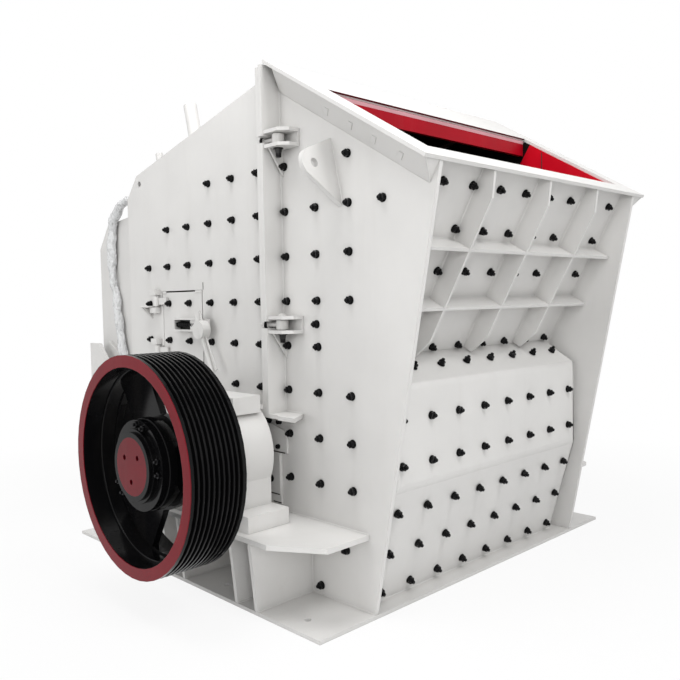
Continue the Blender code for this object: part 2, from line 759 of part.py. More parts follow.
def build_housing_shell(machine, paint):
    """Rear wall, chamfer and roof of the rear housing in one folded plate, with the rod tubes."""
    foot = (REAR_X + WALL_SETBACK, SPLIT_Z + SEAT_GAP)
    corner = (REAR_X + WALL_SETBACK, REAR_CORNER_Z - WALL_SETBACK)
    eave = (ROOF_REAR_X + WALL_SETBACK, ROOF_REAR_Z - WALL_SETBACK)
    head = (SPLIT_X - SEAT_GAP, ROOF_SPLIT_Z - WALL_SETBACK)
    reach = INNER - SEAT_GAP
    shapes = [plate_xz(folded([head, eave, corner, foot], WALL_PLATE), -reach, reach)]
    rise = math.atan2(ROOF_SPLIT_Z - ROOF_REAR_Z, SPLIT_X - ROOF_REAR_X)
    out = Vector((-math.sin(rise), 0, math.cos(rise)))
    bores = []
    for y in (-TUBE_Y, TUBE_Y):
        seat = Vector((TUBE_X, y, roof_z(TUBE_X) - TUBE_SINK))
        shapes.append(rod(seat, seat + out * TUBE_LENGTH, TUBE_RADIUS, 20))
        bores.append(rod(seat + out * TUBE_FLOOR, seat + out * (TUBE_LENGTH + CUTTER_REACH),
                         TUBE_RADIUS - TUBE_WALL, 20))
        seat = Vector((ROD_X, y, roof_z(ROD_X) - TUBE_SINK))
        shapes.append(rod(seat, seat + out * ROD_LENGTH, ROD_RADIUS, 16))
    hang("housing_shell", cut(join(shapes), bores), paint, machine)


def build_lower_rear_wall(machine, paint):
    reach = INNER - SEAT_GAP
    face = REAR_X + WALL_SETBACK
    wall = blank(box(face, face + WALL_PLATE, -reach, reach, FLOOR_Z, SPLIT_Z))
    hang("lower_rear_wall", wall, paint, machine)


def build_hood(machine, paint):
    """Hollow hood on the rear wall, open towards the housing."""
    front = REAR_X + WALL_SETBACK - SEAT_GAP
    top = HOOD_TOP_Z + HOOD_ROOF_RISE
    outline = [(front, HOOD_FOOT_Z), (HOOD_REAR_X, HOOD_FOOT_Z), (HOOD_REAR_X, HOOD_CORNER_Z),
               (HOOD_SHOULDER_X, HOOD_TOP_Z), (front, top)]
    half = HALF - HOOD_INSET
    shell = blank(plate_xz(outline, -half, half))
    rear = HOOD_REAR_X + HOOD_PLATE
    floor = HOOD_FOOT_Z + HOOD_PLATE
    inner = [(front + CUTTER_REACH, floor), (rear, floor), (rear, HOOD_CORNER_Z),
             (HOOD_SHOULDER_X, HOOD_TOP_Z - HOOD_PLATE), (front + CUTTER_REACH, top - HOOD_PLATE)]
    hollow = plate_xz(inner, -half + HOOD_PLATE, half - HOOD_PLATE)
    hang("rear_hood", cut(shell, [hollow]), paint, machine)


def build_hinge_lug(machine, paint, side, name):
    """Rear hinge plate on the side of the hood, with the pin that reaches the frame's arm."""
    outline = [(HINGE_REAR_X, HINGE_FOOT_Z), (HINGE_FRONT_X, HINGE_FOOT_Z),
               (HINGE_FRONT_X, HINGE_SHOULDER_Z), (HINGE_CROWN_X, HINGE_CROWN_Z),
               (HINGE_REAR_X, HINGE_SHOULDER_Z)]
    y = -HALF + HOOD_INSET - SEAT_GAP
    plate = plate_xz(outline, y - HINGE_PLATE, y)
    pin = rod((HINGE_X, -HALF - HINGE_PIN_REACH, HINGE_Z),
              (HINGE_X, y - HINGE_PLATE + WELD_DEPTH, HINGE_Z), HINGE_PIN, 16)
    hang(name, join([sided(shape, side) for shape in (plate, pin)]), paint, machine)


def build_hoses(machine, film):
    """A bundle of hoses in film, lying down the side of the hood."""
    y = -HALF + HOOD_INSET - SEAT_GAP - HOSE_RADIUS
    bundle = swept([(x, y, z) for x, z in HOSE_LINE], HOSE_RADIUS, 12)
    hang("wrapped_hoses", blank(bundle), film, machine, math.radians(40))


# Clamps and lugs

def build_clamp(machine, paint, black, side, z, name):
    """Two bevelled ears with a gusset, and the swing bolt between them."""
    wall = -HALF - SEAT_GAP
    start = SPLIT_X + FLANGE_PLATE + SEAT_GAP
    end = start + EAR_LENGTH
    edge = wall - EAR_REACH
    outline = [(start, wall), (start, edge), (end - EAR_TIP_CUT, edge), (end, edge + EAR_TIP_CUT),
               (end, wall)]
    half = EAR_SPACING / 2
    under = z - half - EAR_PLATE
    shapes = [plate_xy(outline, z + half, z + half + EAR_PLATE), plate_xy(outline, under, z - half)]
    shapes.append(box(start, end, wall - EAR_BACK, wall, z - half - WELD_DEPTH, z + half + WELD_DEPTH))
    brace = start + EAR_GUSSET_INSET
    shapes.append(extruded([(brace, wall, under + WELD_DEPTH),
                            (brace, edge + EAR_GUSSET_EDGE, under + WELD_DEPTH),
                            (brace, wall, under - EAR_GUSSET_DROP)], (EAR_GUSSET, 0, 0)))
    eye = (EYE_X, wall - EYE_REACH)
    bore = rod((*eye, z - CUTTER_REACH), (*eye, z + CUTTER_REACH), SWING_PIN / 2 + SHAFT_FIT, 16)
    ears = cut(join([sided(shape, side) for shape in shapes]), [sided(bore, side)])
    hang("clamp_ears_" + name, ears, paint, machine)
    ring_half = half - SWING_RING_PLAY
    ring = rod((*eye, z - ring_half), (*eye, z + ring_half), EYE_RADIUS, 20)
    nut_x = SPLIT_X - FLANGE_PLATE - SEAT_GAP
    nut_end = nut_x - SWING_NUT_LENGTH
    shank = rod((EYE_X, eye[1], z), (nut_end - SWING_TAIL, eye[1], z), SWING_ROD / 2, 12)
    nut = rod((nut_x, eye[1], z), (nut_end, eye[1], z), SWING_NUT / 2, 6)
    pin = rod((*eye, z - PIN_FALL), (*eye, z + PIN_RISE), SWING_PIN / 2, 16)
    head = rod((*eye, z - PIN_FALL), (*eye, under - SEAT_GAP), PIN_HEAD, 6)
    bolt = join([sided(shape, side) for shape in (ring, shank, nut, pin, head)])
    hang("swing_bolt_" + name, bolt, black, machine)


def clamp_slots():
    """The slots in both split flanges that the swing bolts lie in."""
    wide = (SWING_ROD + SWING_SLOT_PLAY) / 2
    root = -HALF - SEAT_GAP - EYE_REACH + wide
    edge = -HALF - FLANGE_REACH - CUTTER_REACH
    return [box(SPLIT_X - CUTTER_REACH, SPLIT_X + CUTTER_REACH, edge, root, z - wide, z + wide)
            for z in (CLAMP_LOW_Z, CLAMP_HIGH_Z)]


def build_lug(machine, paint, side, name):
    """Lifting lug: a teardrop plate standing out from the side on a slightly leaning line."""
    top = Vector((LUG_TOP_X, 0, LUG_TOP_Z))
    down = Vector((LUG_FOOT_X, 0, LUG_FOOT_Z)) - top
    length = down.length
    down.normalize()
    wall = -HALF - SEAT_GAP
    center = (length * LUG_NOSE_PLACE, LUG_REACH - LUG_NOSE)
    nose = arc(center, LUG_NOSE, math.pi - LUG_NOSE_START, math.pi - LUG_NOSE_END, 7)
    flat = [(0, 0)] + nose + [(length, 0)]
    across = Vector((down.z, 0, -down.x)) * LUG_PLATE
    points = [top + down * s + Vector((0, wall - d, 0)) - across / 2 for s, d in flat]
    plate = blank(sided(extruded(points, across), side))
    eye = top + down * center[0] + Vector((0, wall - center[1], 0))
    hole = rod(eye - across * 2, eye + across * 2, LUG_HOLE / 2, 16)
    hang(name, cut(plate, [sided(hole, side)]), paint, machine)


# Bearings

def build_bearing_seat(machine, paint, side, name):
    """Seat plate on four gussets that stand on the base."""
    wall = -HALF - SEAT_GAP
    edge = wall - SEAT_REACH
    end = wall - SEAT_END_REACH
    outline = [(AXIS_X - SEAT_HALF, wall), (AXIS_X - SEAT_HALF, end),
               (AXIS_X - SEAT_HALF + SEAT_CUT, edge), (AXIS_X + SEAT_HALF - SEAT_CUT, edge),
               (AXIS_X + SEAT_HALF, end), (AXIS_X + SEAT_HALF, wall)]
    shapes = [plate_xy(outline, SEAT_TOP_Z - SEAT_PLATE, SEAT_TOP_Z)]
    under = SEAT_TOP_Z - SEAT_PLATE + WELD_DEPTH
    for offset in (-GUSSET_OUTER, -GUSSET_INNER, GUSSET_INNER, GUSSET_OUTER):
        x = AXIS_X + offset - GUSSET_PLATE / 2
        points = [(x, wall, FLOOR_Z), (x, wall - GUSSET_FOOT_REACH, FLOOR_Z),
                  (x, wall - GUSSET_TOP_REACH, under), (x, wall, under)]
        shapes.append(extruded(points, (GUSSET_PLATE, 0, 0)))
    hang(name, join([sided(shape, side) for shape in shapes]), paint, machine)


def build_shaft_seal(machine, paint, side, name):
    """Stepped plate on the side wall, bored clear of the shaft."""
    half = [(SEAL_HALF, SEAL_FOOT_Z), (SEAL_HALF, SEAL_SHOULDER_Z), (SEAL_SHOULDER, SEAL_SHOULDER_Z),
            (SEAL_SHOULDER, SEAL_CORNER_Z), (SEAL_SHOULDER - SEAL_CORNER, SEAL_SIDE_Z),
            (SEAL_TOP_HALF, SEAL_TOP_Z)]
    outline = [(AXIS_X + x, z) for x, z in half] + [(AXIS_X - x, z) for x, z in half[::-1]]
    wall = -HALF - SEAT_GAP
    plate = blank(sided(plate_xz(outline, wall - SEAL_PLATE, wall), side))
    hang(name, cut(plate, [sided(bored(AXIS_X, AXIS_Z, SEAL_BORE, 32), side)]), paint, machine)


def build_bearing_block(machine, paint, side, name):
    """Pillow block: base, round housing and square cap, bored for the shaft."""
    near = -HALF - BLOCK_NEAR
    far = -HALF - BLOCK_FAR
    foot = SEAT_TOP_Z + SEAT_GAP
    base = box(AXIS_X - BLOCK_HALF, AXIS_X + BLOCK_HALF, far, near, foot, foot + BLOCK_BASE)
    root = foot + HOUSING_SINK
    turn = math.asin(HOUSING_FOOT_HALF / HOUSING_RADIUS) - math.pi / 2
    barrel = arc((AXIS_X, AXIS_Z), HOUSING_RADIUS, turn, math.pi - turn, 26)
    barrel += [(AXIS_X - HOUSING_FOOT_HALF, root), (AXIS_X + HOUSING_FOOT_HALF, root)]
    round_body = plate_xz(barrel, far + HOUSING_FAR_INSET, near - HOUSING_NEAR_INSET)
    cap = box(AXIS_X - CAP_HALF, AXIS_X + CAP_HALF, far + CAP_FAR_INSET, near - CAP_NEAR_INSET,
              AXIS_Z + CAP_TOP - CAP_DROP, AXIS_Z + CAP_TOP)
    body = join([sided(shape, side) for shape in (base, round_body, cap)])
    bore = rod((AXIS_X, far - CUTTER_REACH, AXIS_Z), (AXIS_X, near + CUTTER_REACH, AXIS_Z),
               JOURNAL_RADIUS + SHAFT_FIT, 48)
    hang(name, cut(body, [sided(bore, side)]), paint, machine, math.radians(30))


# Rotor

def build_shaft(rotor, steel):
    """Stepped shaft: thick in the rotor, thinner in the bearings and under the pulley."""
    drive_end = -PULLEY_FACE + HUB_DISC_INSET + HUB_DISC_PLATE + SEAT_GAP
    journal_start = -HALF - BLOCK_FAR - DRIVE_SEAT_START
    shoulder = ROTOR_LENGTH / 2 + SHAFT_SHOULDER
    free_end = HALF + BLOCK_FAR - FREE_END_INSET
    profile = [(0, drive_end), (DRIVE_SEAT_RADIUS, drive_end), (DRIVE_SEAT_RADIUS, journal_start),
               (JOURNAL_RADIUS, journal_start), (JOURNAL_RADIUS, -shoulder),
               (SHAFT_RADIUS, -shoulder), (SHAFT_RADIUS, shoulder), (JOURNAL_RADIUS, shoulder),
               (JOURNAL_RADIUS, free_end), (0, free_end)]
    part = blank(turned(profile, 48))
    part.data.transform(Matrix.Translation((AXIS_X, 0, AXIS_Z)))
    hang("rotor_shaft", part, steel, rotor, math.radians(30))


def bar_frame(index):
    """Turn that carries blow bar number index round the shaft."""
    turn = Matrix.Rotation(ROTOR_TURN + math.tau * index / BLOW_BAR_COUNT, 4, "Y")
    return Matrix.Translation((AXIS_X, 0, AXIS_Z)) @ turn


def build_rotor_drum(rotor, steel):
    """Solid cast rotor: a seat for each blow bar, and a pocket in front of the bar."""
    seat = BLOW_BAR_WIDTH / 2 + SEAT_GAP
    root = ROTOR_RADIUS - BLOW_BAR_DEPTH - SEAT_GAP
    share = math.tau / BLOW_BAR_COUNT
    rim_turn = math.asin(seat / DRUM_RADIUS)
    lobe = [(seat, root), (-seat, root), (-seat, POCKET_FLOOR)]
    lobe += arc((0, 0), DRUM_RADIUS, math.pi / 2 + POCKET_TURN, math.pi / 2 + share - rim_turn,
                LOBE_STEPS)
    outline = []
    for index in range(BLOW_BAR_COUNT):
        turn = Matrix.Rotation(share * index, 2)
        outline += [tuple(turn @ Vector(point)) for point in lobe]
    half = ROTOR_LENGTH / 2
    drum = blank(plate_xz(outline, -half, half))
    bore = rod((0, -half - CUTTER_REACH, 0), (0, half + CUTTER_REACH, 0), SHAFT_RADIUS + SHAFT_FIT, 48)
    drum = cut(drum, [bore])
    drum.data.transform(bar_frame(0))
    hang("rotor_drum", drum, steel, rotor)


def build_blow_bars(rotor, steel):
    half = ROTOR_LENGTH / 2
    root = ROTOR_RADIUS - BLOW_BAR_DEPTH
    wide = BLOW_BAR_WIDTH / 2
    for index in range(BLOW_BAR_COUNT):
        bar = blank(box(-wide, wide, -half, half, root, ROTOR_RADIUS))
        bar.data.transform(bar_frame(index))
        hang("blow_bar_%d" % (index + 1), bar, steel, rotor)


def pulley_rim():
    """The grooved rim as a closed profile of (radius, y) points."""
    face = -PULLEY_FACE
    back = face + PULLEY_WIDTH
    inner = PULLEY_RADIUS - RIM_THICKNESS
    floor = PULLEY_RADIUS - GROOVE_DEPTH
    land = (PULLEY_WIDTH - GROOVE_COUNT * GROOVE_PITCH) / 2
    profile = [(inner, face), (PULLEY_RADIUS, face)]
    for index in range(GROOVE_COUNT):
        middle = face + land + GROOVE_PITCH * (index + 0.5)
        profile += [(PULLEY_RADIUS, middle - GROOVE_TOP / 2), (floor, middle - GROOVE_FLOOR / 2),
                    (floor, middle + GROOVE_FLOOR / 2), (PULLEY_RADIUS, middle + GROOVE_TOP / 2)]
    return profile + [(PULLEY_RADIUS, back), (inner, back)]


def build_pulley(rotor, black):
    """Grooved belt pulley: turned rim, spoked web, hub and taper bush."""
    face = -PULLEY_FACE
    back = face + PULLEY_WIDTH
    inner = PULLEY_RADIUS - RIM_THICKNESS
    web_back = back - WEB_BACK
    web_face = web_back - WEB_PLATE
    seat = face + HUB_DISC_INSET + HUB_DISC_PLATE + SEAT_GAP
    ring = turned(pulley_rim(), RIM_SIDES, ring=True)
    web = rod((0, web_face, 0), (0, web_back, 0), inner + WELD_DEPTH, RIM_SIDES)
    hub = rod((0, face + HUB_FACE_INSET, 0), (0, back - HUB_BACK_INSET, 0), PULLEY_HUB_RADIUS, 40)
    bush = rod((0, seat, 0), (0, back + BUSH_REACH, 0), BUSH_RADIUS, 40)
    tools = [rod((0, face - CUTTER_REACH, 0), (0, back + CUTTER_REACH, 0),
                 DRIVE_SEAT_RADIUS + SHAFT_FIT, 48)]
    half_turn = math.pi / SPOKE_COUNT
    near = PULLEY_HUB_RADIUS + WINDOW_INSET
    far = inner - WINDOW_INSET
    near_half = half_turn - math.asin(SPOKE_HALF_WIDTH / near)
    far_half = half_turn - math.asin(SPOKE_HALF_WIDTH / far)
    for index in range(SPOKE_COUNT):
        middle = math.tau * (index + 0.5) / SPOKE_COUNT
        window = arc((0, 0), far, middle - far_half, middle + far_half, 8)
        window += arc((0, 0), near, middle + near_half, middle - near_half, 4)
        tools.append(plate_xz(window, web_face - WEB_PLATE, web_back + WEB_PLATE))
    body = cut(join([ring, web, hub, bush]), tools)
    body.data.transform(Matrix.Translation((AXIS_X, 0, AXIS_Z)))
    hang("drive_pulley", body, black, rotor, math.radians(25))


def build_hub_disc(rotor, red):
    """Cover disc over the shaft end, with three small holes."""
    start = -PULLEY_FACE + HUB_DISC_INSET
    end = start + HUB_DISC_PLATE
    disc = blank(rod((AXIS_X, start, AXIS_Z), (AXIS_X, end, AXIS_Z), HUB_DISC_RADIUS, 40))
    holes = []
    for turn in HUB_DISC_HOLE_TURNS:
        x = AXIS_X + HUB_DISC_HOLE_CIRCLE * math.cos(math.radians(turn))
        z = AXIS_Z + HUB_DISC_HOLE_CIRCLE * math.sin(math.radians(turn))
        holes.append(rod((x, start - CUTTER_REACH, z), (x, end + CUTTER_REACH, z),
                         HUB_DISC_HOLE / 2, 12))
    hang("hub_disc", cut(disc, holes), red, rotor, math.radians(30))


# Chamber

def build_side_liner(machine, red, side, name):
    """Wear plate inside a side wall, clear of the rotor shaft and the door opening."""
    outer = -INNER + SEAT_GAP
    lean = WALL_PLATE / math.cos(WALL_LEAN)
    below = MOUTH_PLATE + SEAT_GAP
    foot = FLOOR_Z + LINER_EDGE
    front = WALL_FOOT_X - WALL_PLATE - LINER_EDGE
    rear = REAR_X + LINER_INSET
    head = mouth_point(MOUTH_OPEN_END, below)
    outline = [(rear, foot), (front, foot), (front, LINER_FRONT_Z),
               (wall_x(LINER_STEP_Z) - lean - LINER_EDGE, LINER_STEP_Z), head,
               mouth_point(LINER_INSET, below), (SPLIT_X - LINER_INSET, ROOF_SPLIT_Z - LINER_ROOF_DROP),
               (ROOF_REAR_X + LINER_INSET, ROOF_REAR_Z - LINER_ROOF_DROP),
               (rear, REAR_CORNER_Z - LINER_EDGE)]
    part = blank(sided(plate_xz(outline, outer, outer + LINER), side))
    tools = [bored(AXIS_X, AXIS_Z, SHAFT_HOLE, 32)]
    if side < 0:
        tools.append(door_cutter())
    hang(name, cut(part, [sided(tool, side) for tool in tools]), red, machine)


def build_apron(machine, steel, name, line):
    """Hanging impact apron: a bent plate on a cross shaft between the side liners."""
    reach = INNER - LINER - APRON_SIDE_GAP
    hook_x, hook_z = line[0]
    plate = plate_xz(folded(line, APRON_PLATE), -reach, reach)
    end = INNER - LINER - SEAT_GAP * 2
    pivot = rod((hook_x, -end, hook_z), (hook_x, end, hook_z), APRON_PIVOT_RADIUS, 20)
    hang(name, join([plate, pivot]), steel, machine)


# Inspection door

def build_door(door, paint):
    """Flush door leaf with two hinge straps and their barrels."""
    z_low = DOOR_FOOT_Z + DOOR_GAP
    z_high = DOOR_TOP_Z - DOOR_GAP
    left = DOOR_LEFT_X + DOOR_GAP
    shapes = [box(left, DOOR_RIGHT_X - DOOR_GAP, -HALF, -INNER, z_low, z_high)]
    y = -HALF - DOOR_HINGE_REACH
    end = DOOR_LEFT_X + STRAP_END
    for z in hinge_heights():
        low = z - BARREL_LENGTH / 2
        high = z + BARREL_LENGTH / 2
        shapes.append(rod((DOOR_HINGE_X, y, low), (DOOR_HINGE_X, y, high), BARREL_RADIUS, 16))
        low += BARREL_EDGE
        high -= BARREL_EDGE
        shapes.append(box(DOOR_HINGE_X, end, -HALF - STRAP_FAR, -HALF - STRAP_NEAR, low, high))
        shapes.append(box(left + STRAP_EDGE, end - STRAP_EDGE, -HALF - STRAP_NEAR - WELD_DEPTH,
                          -HALF + WELD_DEPTH, low + STRAP_STEP, high - STRAP_STEP))
    bore = rod((DOOR_HINGE_X, y, z_low - CUTTER_REACH), (DOOR_HINGE_X, y, z_high + CUTTER_REACH),
               DOOR_PIN + SHAFT_FIT, 16)
    hang("inspection_door", cut(join(shapes), [bore]), paint, door)


def hinge_heights():
    return (DOOR_FOOT_Z + DOOR_GAP + BARREL_INSET, DOOR_TOP_Z - DOOR_GAP - BARREL_INSET)


def build_door_hinge(machine, paint, z, name):
    """Hinge pin held by a block above and below the door's barrel."""
    y = -HALF - DOOR_HINGE_REACH
    half = BARREL_LENGTH / 2 + DOOR_PIN_TAIL
    shapes = [rod((DOOR_HINGE_X, y, z - half), (DOOR_HINGE_X, y, z + half), DOOR_PIN, 16)]
    for end in (-1, 1):
        middle = z + end * (BARREL_LENGTH / 2 + HINGE_BLOCK_GAP)
        shapes.append(box(DOOR_HINGE_X - HINGE_BLOCK_LENGTH, DOOR_HINGE_X + HINGE_BLOCK_LIP,
                          y - HINGE_BLOCK_LIP, -HALF - SEAT_GAP, middle - HINGE_BLOCK_HALF,
                          middle + HINGE_BLOCK_HALF))
    hang(name, join(shapes), paint, machine)


def build_latch_bar(door, paint):
    """Channel on the door with the tongue that carries the lever's pin."""
    wall = -HALF - SEAT_GAP
    low = LATCH_Z - LATCH_HALF
    high = LATCH_Z + LATCH_HALF
    start = LATCH_START_X
    end = DOOR_RIGHT_X - DOOR_GAP
    face = wall - LATCH_REACH
    shapes = [box(start, end, face, wall, high - LATCH_PLATE, high),
              box(start, end, face, wall, low, low + LATCH_PLATE),
              box(start, start + LATCH_PLATE, face, wall, low, high),
              box(start, end, wall - LATCH_BACK, wall, low, high),
              box(DOOR_RIGHT_X - TONGUE_START, HUB_X + TONGUE_END, wall - TONGUE_FAR,
                  wall - TONGUE_NEAR, low + TONGUE_EDGE, high - TONGUE_EDGE),
              rod((HUB_X, wall - TONGUE_FAR + LATCH_PIN_SINK, HUB_Z),
                  (HUB_X, wall - TONGUE_FAR - LATCH_HUB_DEPTH, HUB_Z), LATCH_PIN, 16)]
    hang("latch_bar", join(shapes), paint, door)


def build_latch_lever(latch, paint):
    """Hub on the latch pin, with a long hanging lever and a short tab."""
    face = -HALF - TONGUE_FAR - SEAT_GAP * 2
    back = face - LATCH_HUB_DEPTH
    hub = rod((HUB_X, face, HUB_Z), (HUB_X, back, HUB_Z), LATCH_HUB_RADIUS, 24)
    root = Vector((HUB_X, face - LEVER_OUT, HUB_Z))
    tip = root + LEVER_LENGTH * Vector((math.cos(LEVER_LEAN), 0, math.sin(LEVER_LEAN)))
    lever = rod(root, tip, LEVER_RADIUS, 12)
    tab = box(HUB_X - TAB_FAR, HUB_X - TAB_NEAR, face - TAB_OUT - TAB_PLATE, face - TAB_OUT,
              HUB_Z + TAB_FOOT, HUB_Z + TAB_LENGTH)
    bore = rod((HUB_X, face + CUTTER_REACH, HUB_Z), (HUB_X, back - CUTTER_REACH, HUB_Z),
               LATCH_PIN + SHAFT_FIT, 16)
    hang("latch_lever", cut(join([hub, lever, tab]), [bore]), paint, latch)


def main():
    for item in list(bpy.data.objects):
        bpy.data.objects.remove(item)
    paint = finish("grey_white_paint", (0.68, 0.68, 0.67), 0.38, 0.0)
    black = finish("gloss_black_paint", (0.012, 0.012, 0.013), 0.22, 0.0)
    red = finish("crimson_paint", (0.42, 0.01, 0.02), 0.35, 0.0)
    steel = finish("cast_steel", (0.10, 0.10, 0.11), 0.55, 0.8)
    film = finish("clear_film", (0.80, 0.81, 0.82), 0.25, 0.0)

    machine = holder("machine", (0, 0, 0))
    rotor = holder("rotor_axis", (AXIS_X, 0, AXIS_Z), machine)
    door_z = (DOOR_FOOT_Z + DOOR_TOP_Z) / 2
    door = holder("door_axis", (DOOR_HINGE_X, -HALF - DOOR_HINGE_REACH, door_z), machine)
    latch = holder("latch_axis", (HUB_X, -HALF, HUB_Z), door)

    build_base(machine, paint)
    build_belly(machine, paint)
    build_feed_wall(machine, paint)
    build_rib_grid(machine, paint)
    build_mouth(machine, paint)
    build_lip(machine, red)
    build_lower_rear_wall(machine, paint)
    build_housing_shell(machine, paint)
    build_hood(machine, paint)
    build_hoses(machine, film)
    for side, word in ((-1, "drive"), (1, "free")):
        build_front_side(machine, paint, side, "front_side_" + word)
        build_housing_side(machine, paint, side, "housing_side_" + word)
        build_mouth_gusset(machine, paint, side, "mouth_gusset_" + word)
        build_hinge_lug(machine, paint, side, "hinge_lug_" + word)
        build_bearing_seat(machine, paint, side, "bearing_seat_" + word)
        build_bearing_block(machine, paint, side, "bearing_block_" + word)
        build_shaft_seal(machine, paint, side, "shaft_seal_" + word)
        build_lug(machine, paint, side, "lifting_lug_" + word)
        build_side_liner(machine, red, side, "side_liner_" + word)
        for level, z in (("low", CLAMP_LOW_Z), ("high", CLAMP_HIGH_Z)):
            build_clamp(machine, paint, black, side, z, level + "_" + word)
    build_shaft(rotor, steel)
    build_rotor_drum(rotor, steel)
    build_blow_bars(rotor, steel)
    build_pulley(rotor, black)
    build_hub_disc(rotor, red)
    build_apron(machine, steel, "front_apron", FRONT_APRON)
    build_apron(machine, steel, "rear_apron", REAR_APRON)
    build_door(door, paint)
    for index, z in enumerate(hinge_heights()):
        build_door_hinge(machine, paint, z, "door_hinge_%d" % (index + 1))
    build_latch_bar(door, paint)
    build_latch_lever(latch, paint)

    machine.location = (-(HOOD_REAR_X + mouth_point(MOUTH_LENGTH)[0]) / 2,
                        (PULLEY_FACE - HALF - SEAT_REACH - SEAT_GAP) / 2, 0)


main()
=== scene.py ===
"""Looks of an impact crusher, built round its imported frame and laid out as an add-on.

Places are given in the machine's own frame, in metres: x = 0 is the first bolt column of the
side plates, y = 0 the middle plane and z = 0 the underside of the base. here() turns them
into the frame's coordinates.
"""

import json
import math
import random

import bmesh
import bpy
from mathutils import Matrix, Vector, noise


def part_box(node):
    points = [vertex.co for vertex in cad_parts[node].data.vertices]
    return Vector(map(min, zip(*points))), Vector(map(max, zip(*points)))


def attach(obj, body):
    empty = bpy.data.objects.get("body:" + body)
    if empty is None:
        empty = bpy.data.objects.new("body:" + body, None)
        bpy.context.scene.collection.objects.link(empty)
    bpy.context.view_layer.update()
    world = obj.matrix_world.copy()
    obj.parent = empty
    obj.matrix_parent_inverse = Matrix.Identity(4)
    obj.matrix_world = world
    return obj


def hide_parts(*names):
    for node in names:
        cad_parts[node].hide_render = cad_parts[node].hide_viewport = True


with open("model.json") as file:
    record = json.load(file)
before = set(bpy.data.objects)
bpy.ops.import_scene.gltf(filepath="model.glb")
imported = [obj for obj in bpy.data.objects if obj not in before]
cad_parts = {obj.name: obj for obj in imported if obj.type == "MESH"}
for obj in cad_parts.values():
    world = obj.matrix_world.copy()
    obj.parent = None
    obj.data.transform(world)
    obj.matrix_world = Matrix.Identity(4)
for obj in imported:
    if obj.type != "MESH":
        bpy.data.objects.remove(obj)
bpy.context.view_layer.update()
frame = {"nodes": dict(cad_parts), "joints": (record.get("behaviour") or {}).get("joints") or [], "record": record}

bl_info = {
    "name": "Impact crusher finish",
    "version": (2, 0, 0),
    "blender": (4, 5, 0),
    "location": "View3D > Sidebar > Crusher",
    "description": "Paint, bolts, welds and fittings of an impact crusher",
    "category": "Object",
}

# Plate thicknesses, the gap of seated pieces, and the area from which a face stays flat
LARGE_FACE = 0.020
FIT = 0.0003
SIDE_PLATE = 0.025
WALL_PLATE = 0.020
MOUTH_PLATE = 0.020
FLANGE_PLATE = 0.026
SHELF_PLATE = 0.024
SEAT_PLATE = 0.028
REAR_MARGIN = 0.300

# Places read from the frame
MOUTH_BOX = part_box("mouth_flange")
HOUSING_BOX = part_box("housing_side_drive")
ORIGIN = Vector((HOUSING_BOX[0].x + REAR_MARGIN, (MOUTH_BOX[0].y + MOUTH_BOX[1].y) / 2,
                 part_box("base_frame")[0].z))
BODY = "frame"


def corners(node):
    """A node's lowest and highest corner, in the machine's own frame."""
    low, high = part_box(node)
    return low - ORIGIN, high - ORIGIN


def mount(name):
    """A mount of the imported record."""
    return next(item for item in frame["record"]["mounts"] if item["name"] == name)


def joint_place(name):
    """Where a joint turns, in the machine's own frame."""
    joint = next(item for item in frame["joints"] if item["name"] == name)
    return Vector(joint["pos_m"]) - ORIGIN


AXIS = joint_place("rotor_spin")
LATCH_HUB = joint_place("latch_turn")
BASE_LOW, BASE_HIGH = corners("base_frame")
HOUSING_LOW, HOUSING_HIGH = corners("housing_side_drive")
PULLEY_LOW, PULLEY_HIGH = corners("drive_pulley")
SEAT_LOW, SEAT_HIGH = corners("bearing_seat_drive")
SEAL_LOW = corners("shaft_seal_drive")[0]
HOOD_LOW, HOOD_HIGH = corners("rear_hood")
LATCH_LOW, LATCH_HIGH = corners("latch_bar")
LIP_LOW, LIP_HIGH = corners("mouth_lip")
WALL_LOW, WALL_HIGH = corners("feed_wall")
INNER = FIT - corners("side_liner_drive")[0].y
HALF = INNER + SIDE_PLATE
LINER_FACE = corners("side_liner_free")[0].y
SPLIT_X = HOUSING_HIGH.x
SPLIT_Z = HOUSING_LOW.z
REAR_X = HOUSING_LOW.x
ROOF_REAR = (-0.155, 2.659)
ROOF_SPLIT = (SPLIT_X, HOUSING_HIGH.z)
REAR_CORNER_Z = 2.497
SEAT_UNDER = SEAT_HIGH.z - SEAT_PLATE
SEAT_GUSSETS = (-0.450, -0.270, 0.270, 0.450)
GUSSET_PLATE = 0.025
GUSSET_REACH = 0.405
SHELF_END_X = 1.676

# Sloping feed mouth
MOUTH_OUT = Vector(mount("feed_chute_face")["axis"])
MOUTH_ALONG = Vector((MOUTH_OUT.z, 0, -MOUTH_OUT.x))
MOUTH_START = Vector((MOUTH_BOX[0].x - ORIGIN.x + MOUTH_PLATE * MOUTH_OUT.x, 0,
                      MOUTH_BOX[1].z - ORIGIN.z))
MOUTH_BACK_STRIP = 0.418
MOUTH_LENGTH = 1.376
MOUTH_OVERHANG = 0.121
CORNER_DROP = 0.120
CORNER_STRIP = 0.012

# Feed wall and belly outlines, as (x, z) of the outer face
WALL_LEAN = math.atan(0.5573)
WALL_OUT = Vector((math.cos(WALL_LEAN), 0, -math.sin(WALL_LEAN)))
WALL_UP = Vector((math.sin(WALL_LEAN), 0, math.cos(WALL_LEAN)))
WALL_FOOT = (WALL_LOW.x + WALL_PLATE / math.cos(WALL_LEAN), WALL_LOW.z)
BELLY_TOP = (2.310, 1.245)
BELLY_FOLD = (2.310, 0.690)
BELLY_FOOT = (2.113, BASE_HIGH.z)
FRONT_FOOT_X = 2.226
RIB_PLATE = 0.018
RIB_PLACES = (-0.577, -0.021, 0.535)
SHELF_PITCH = 0.360

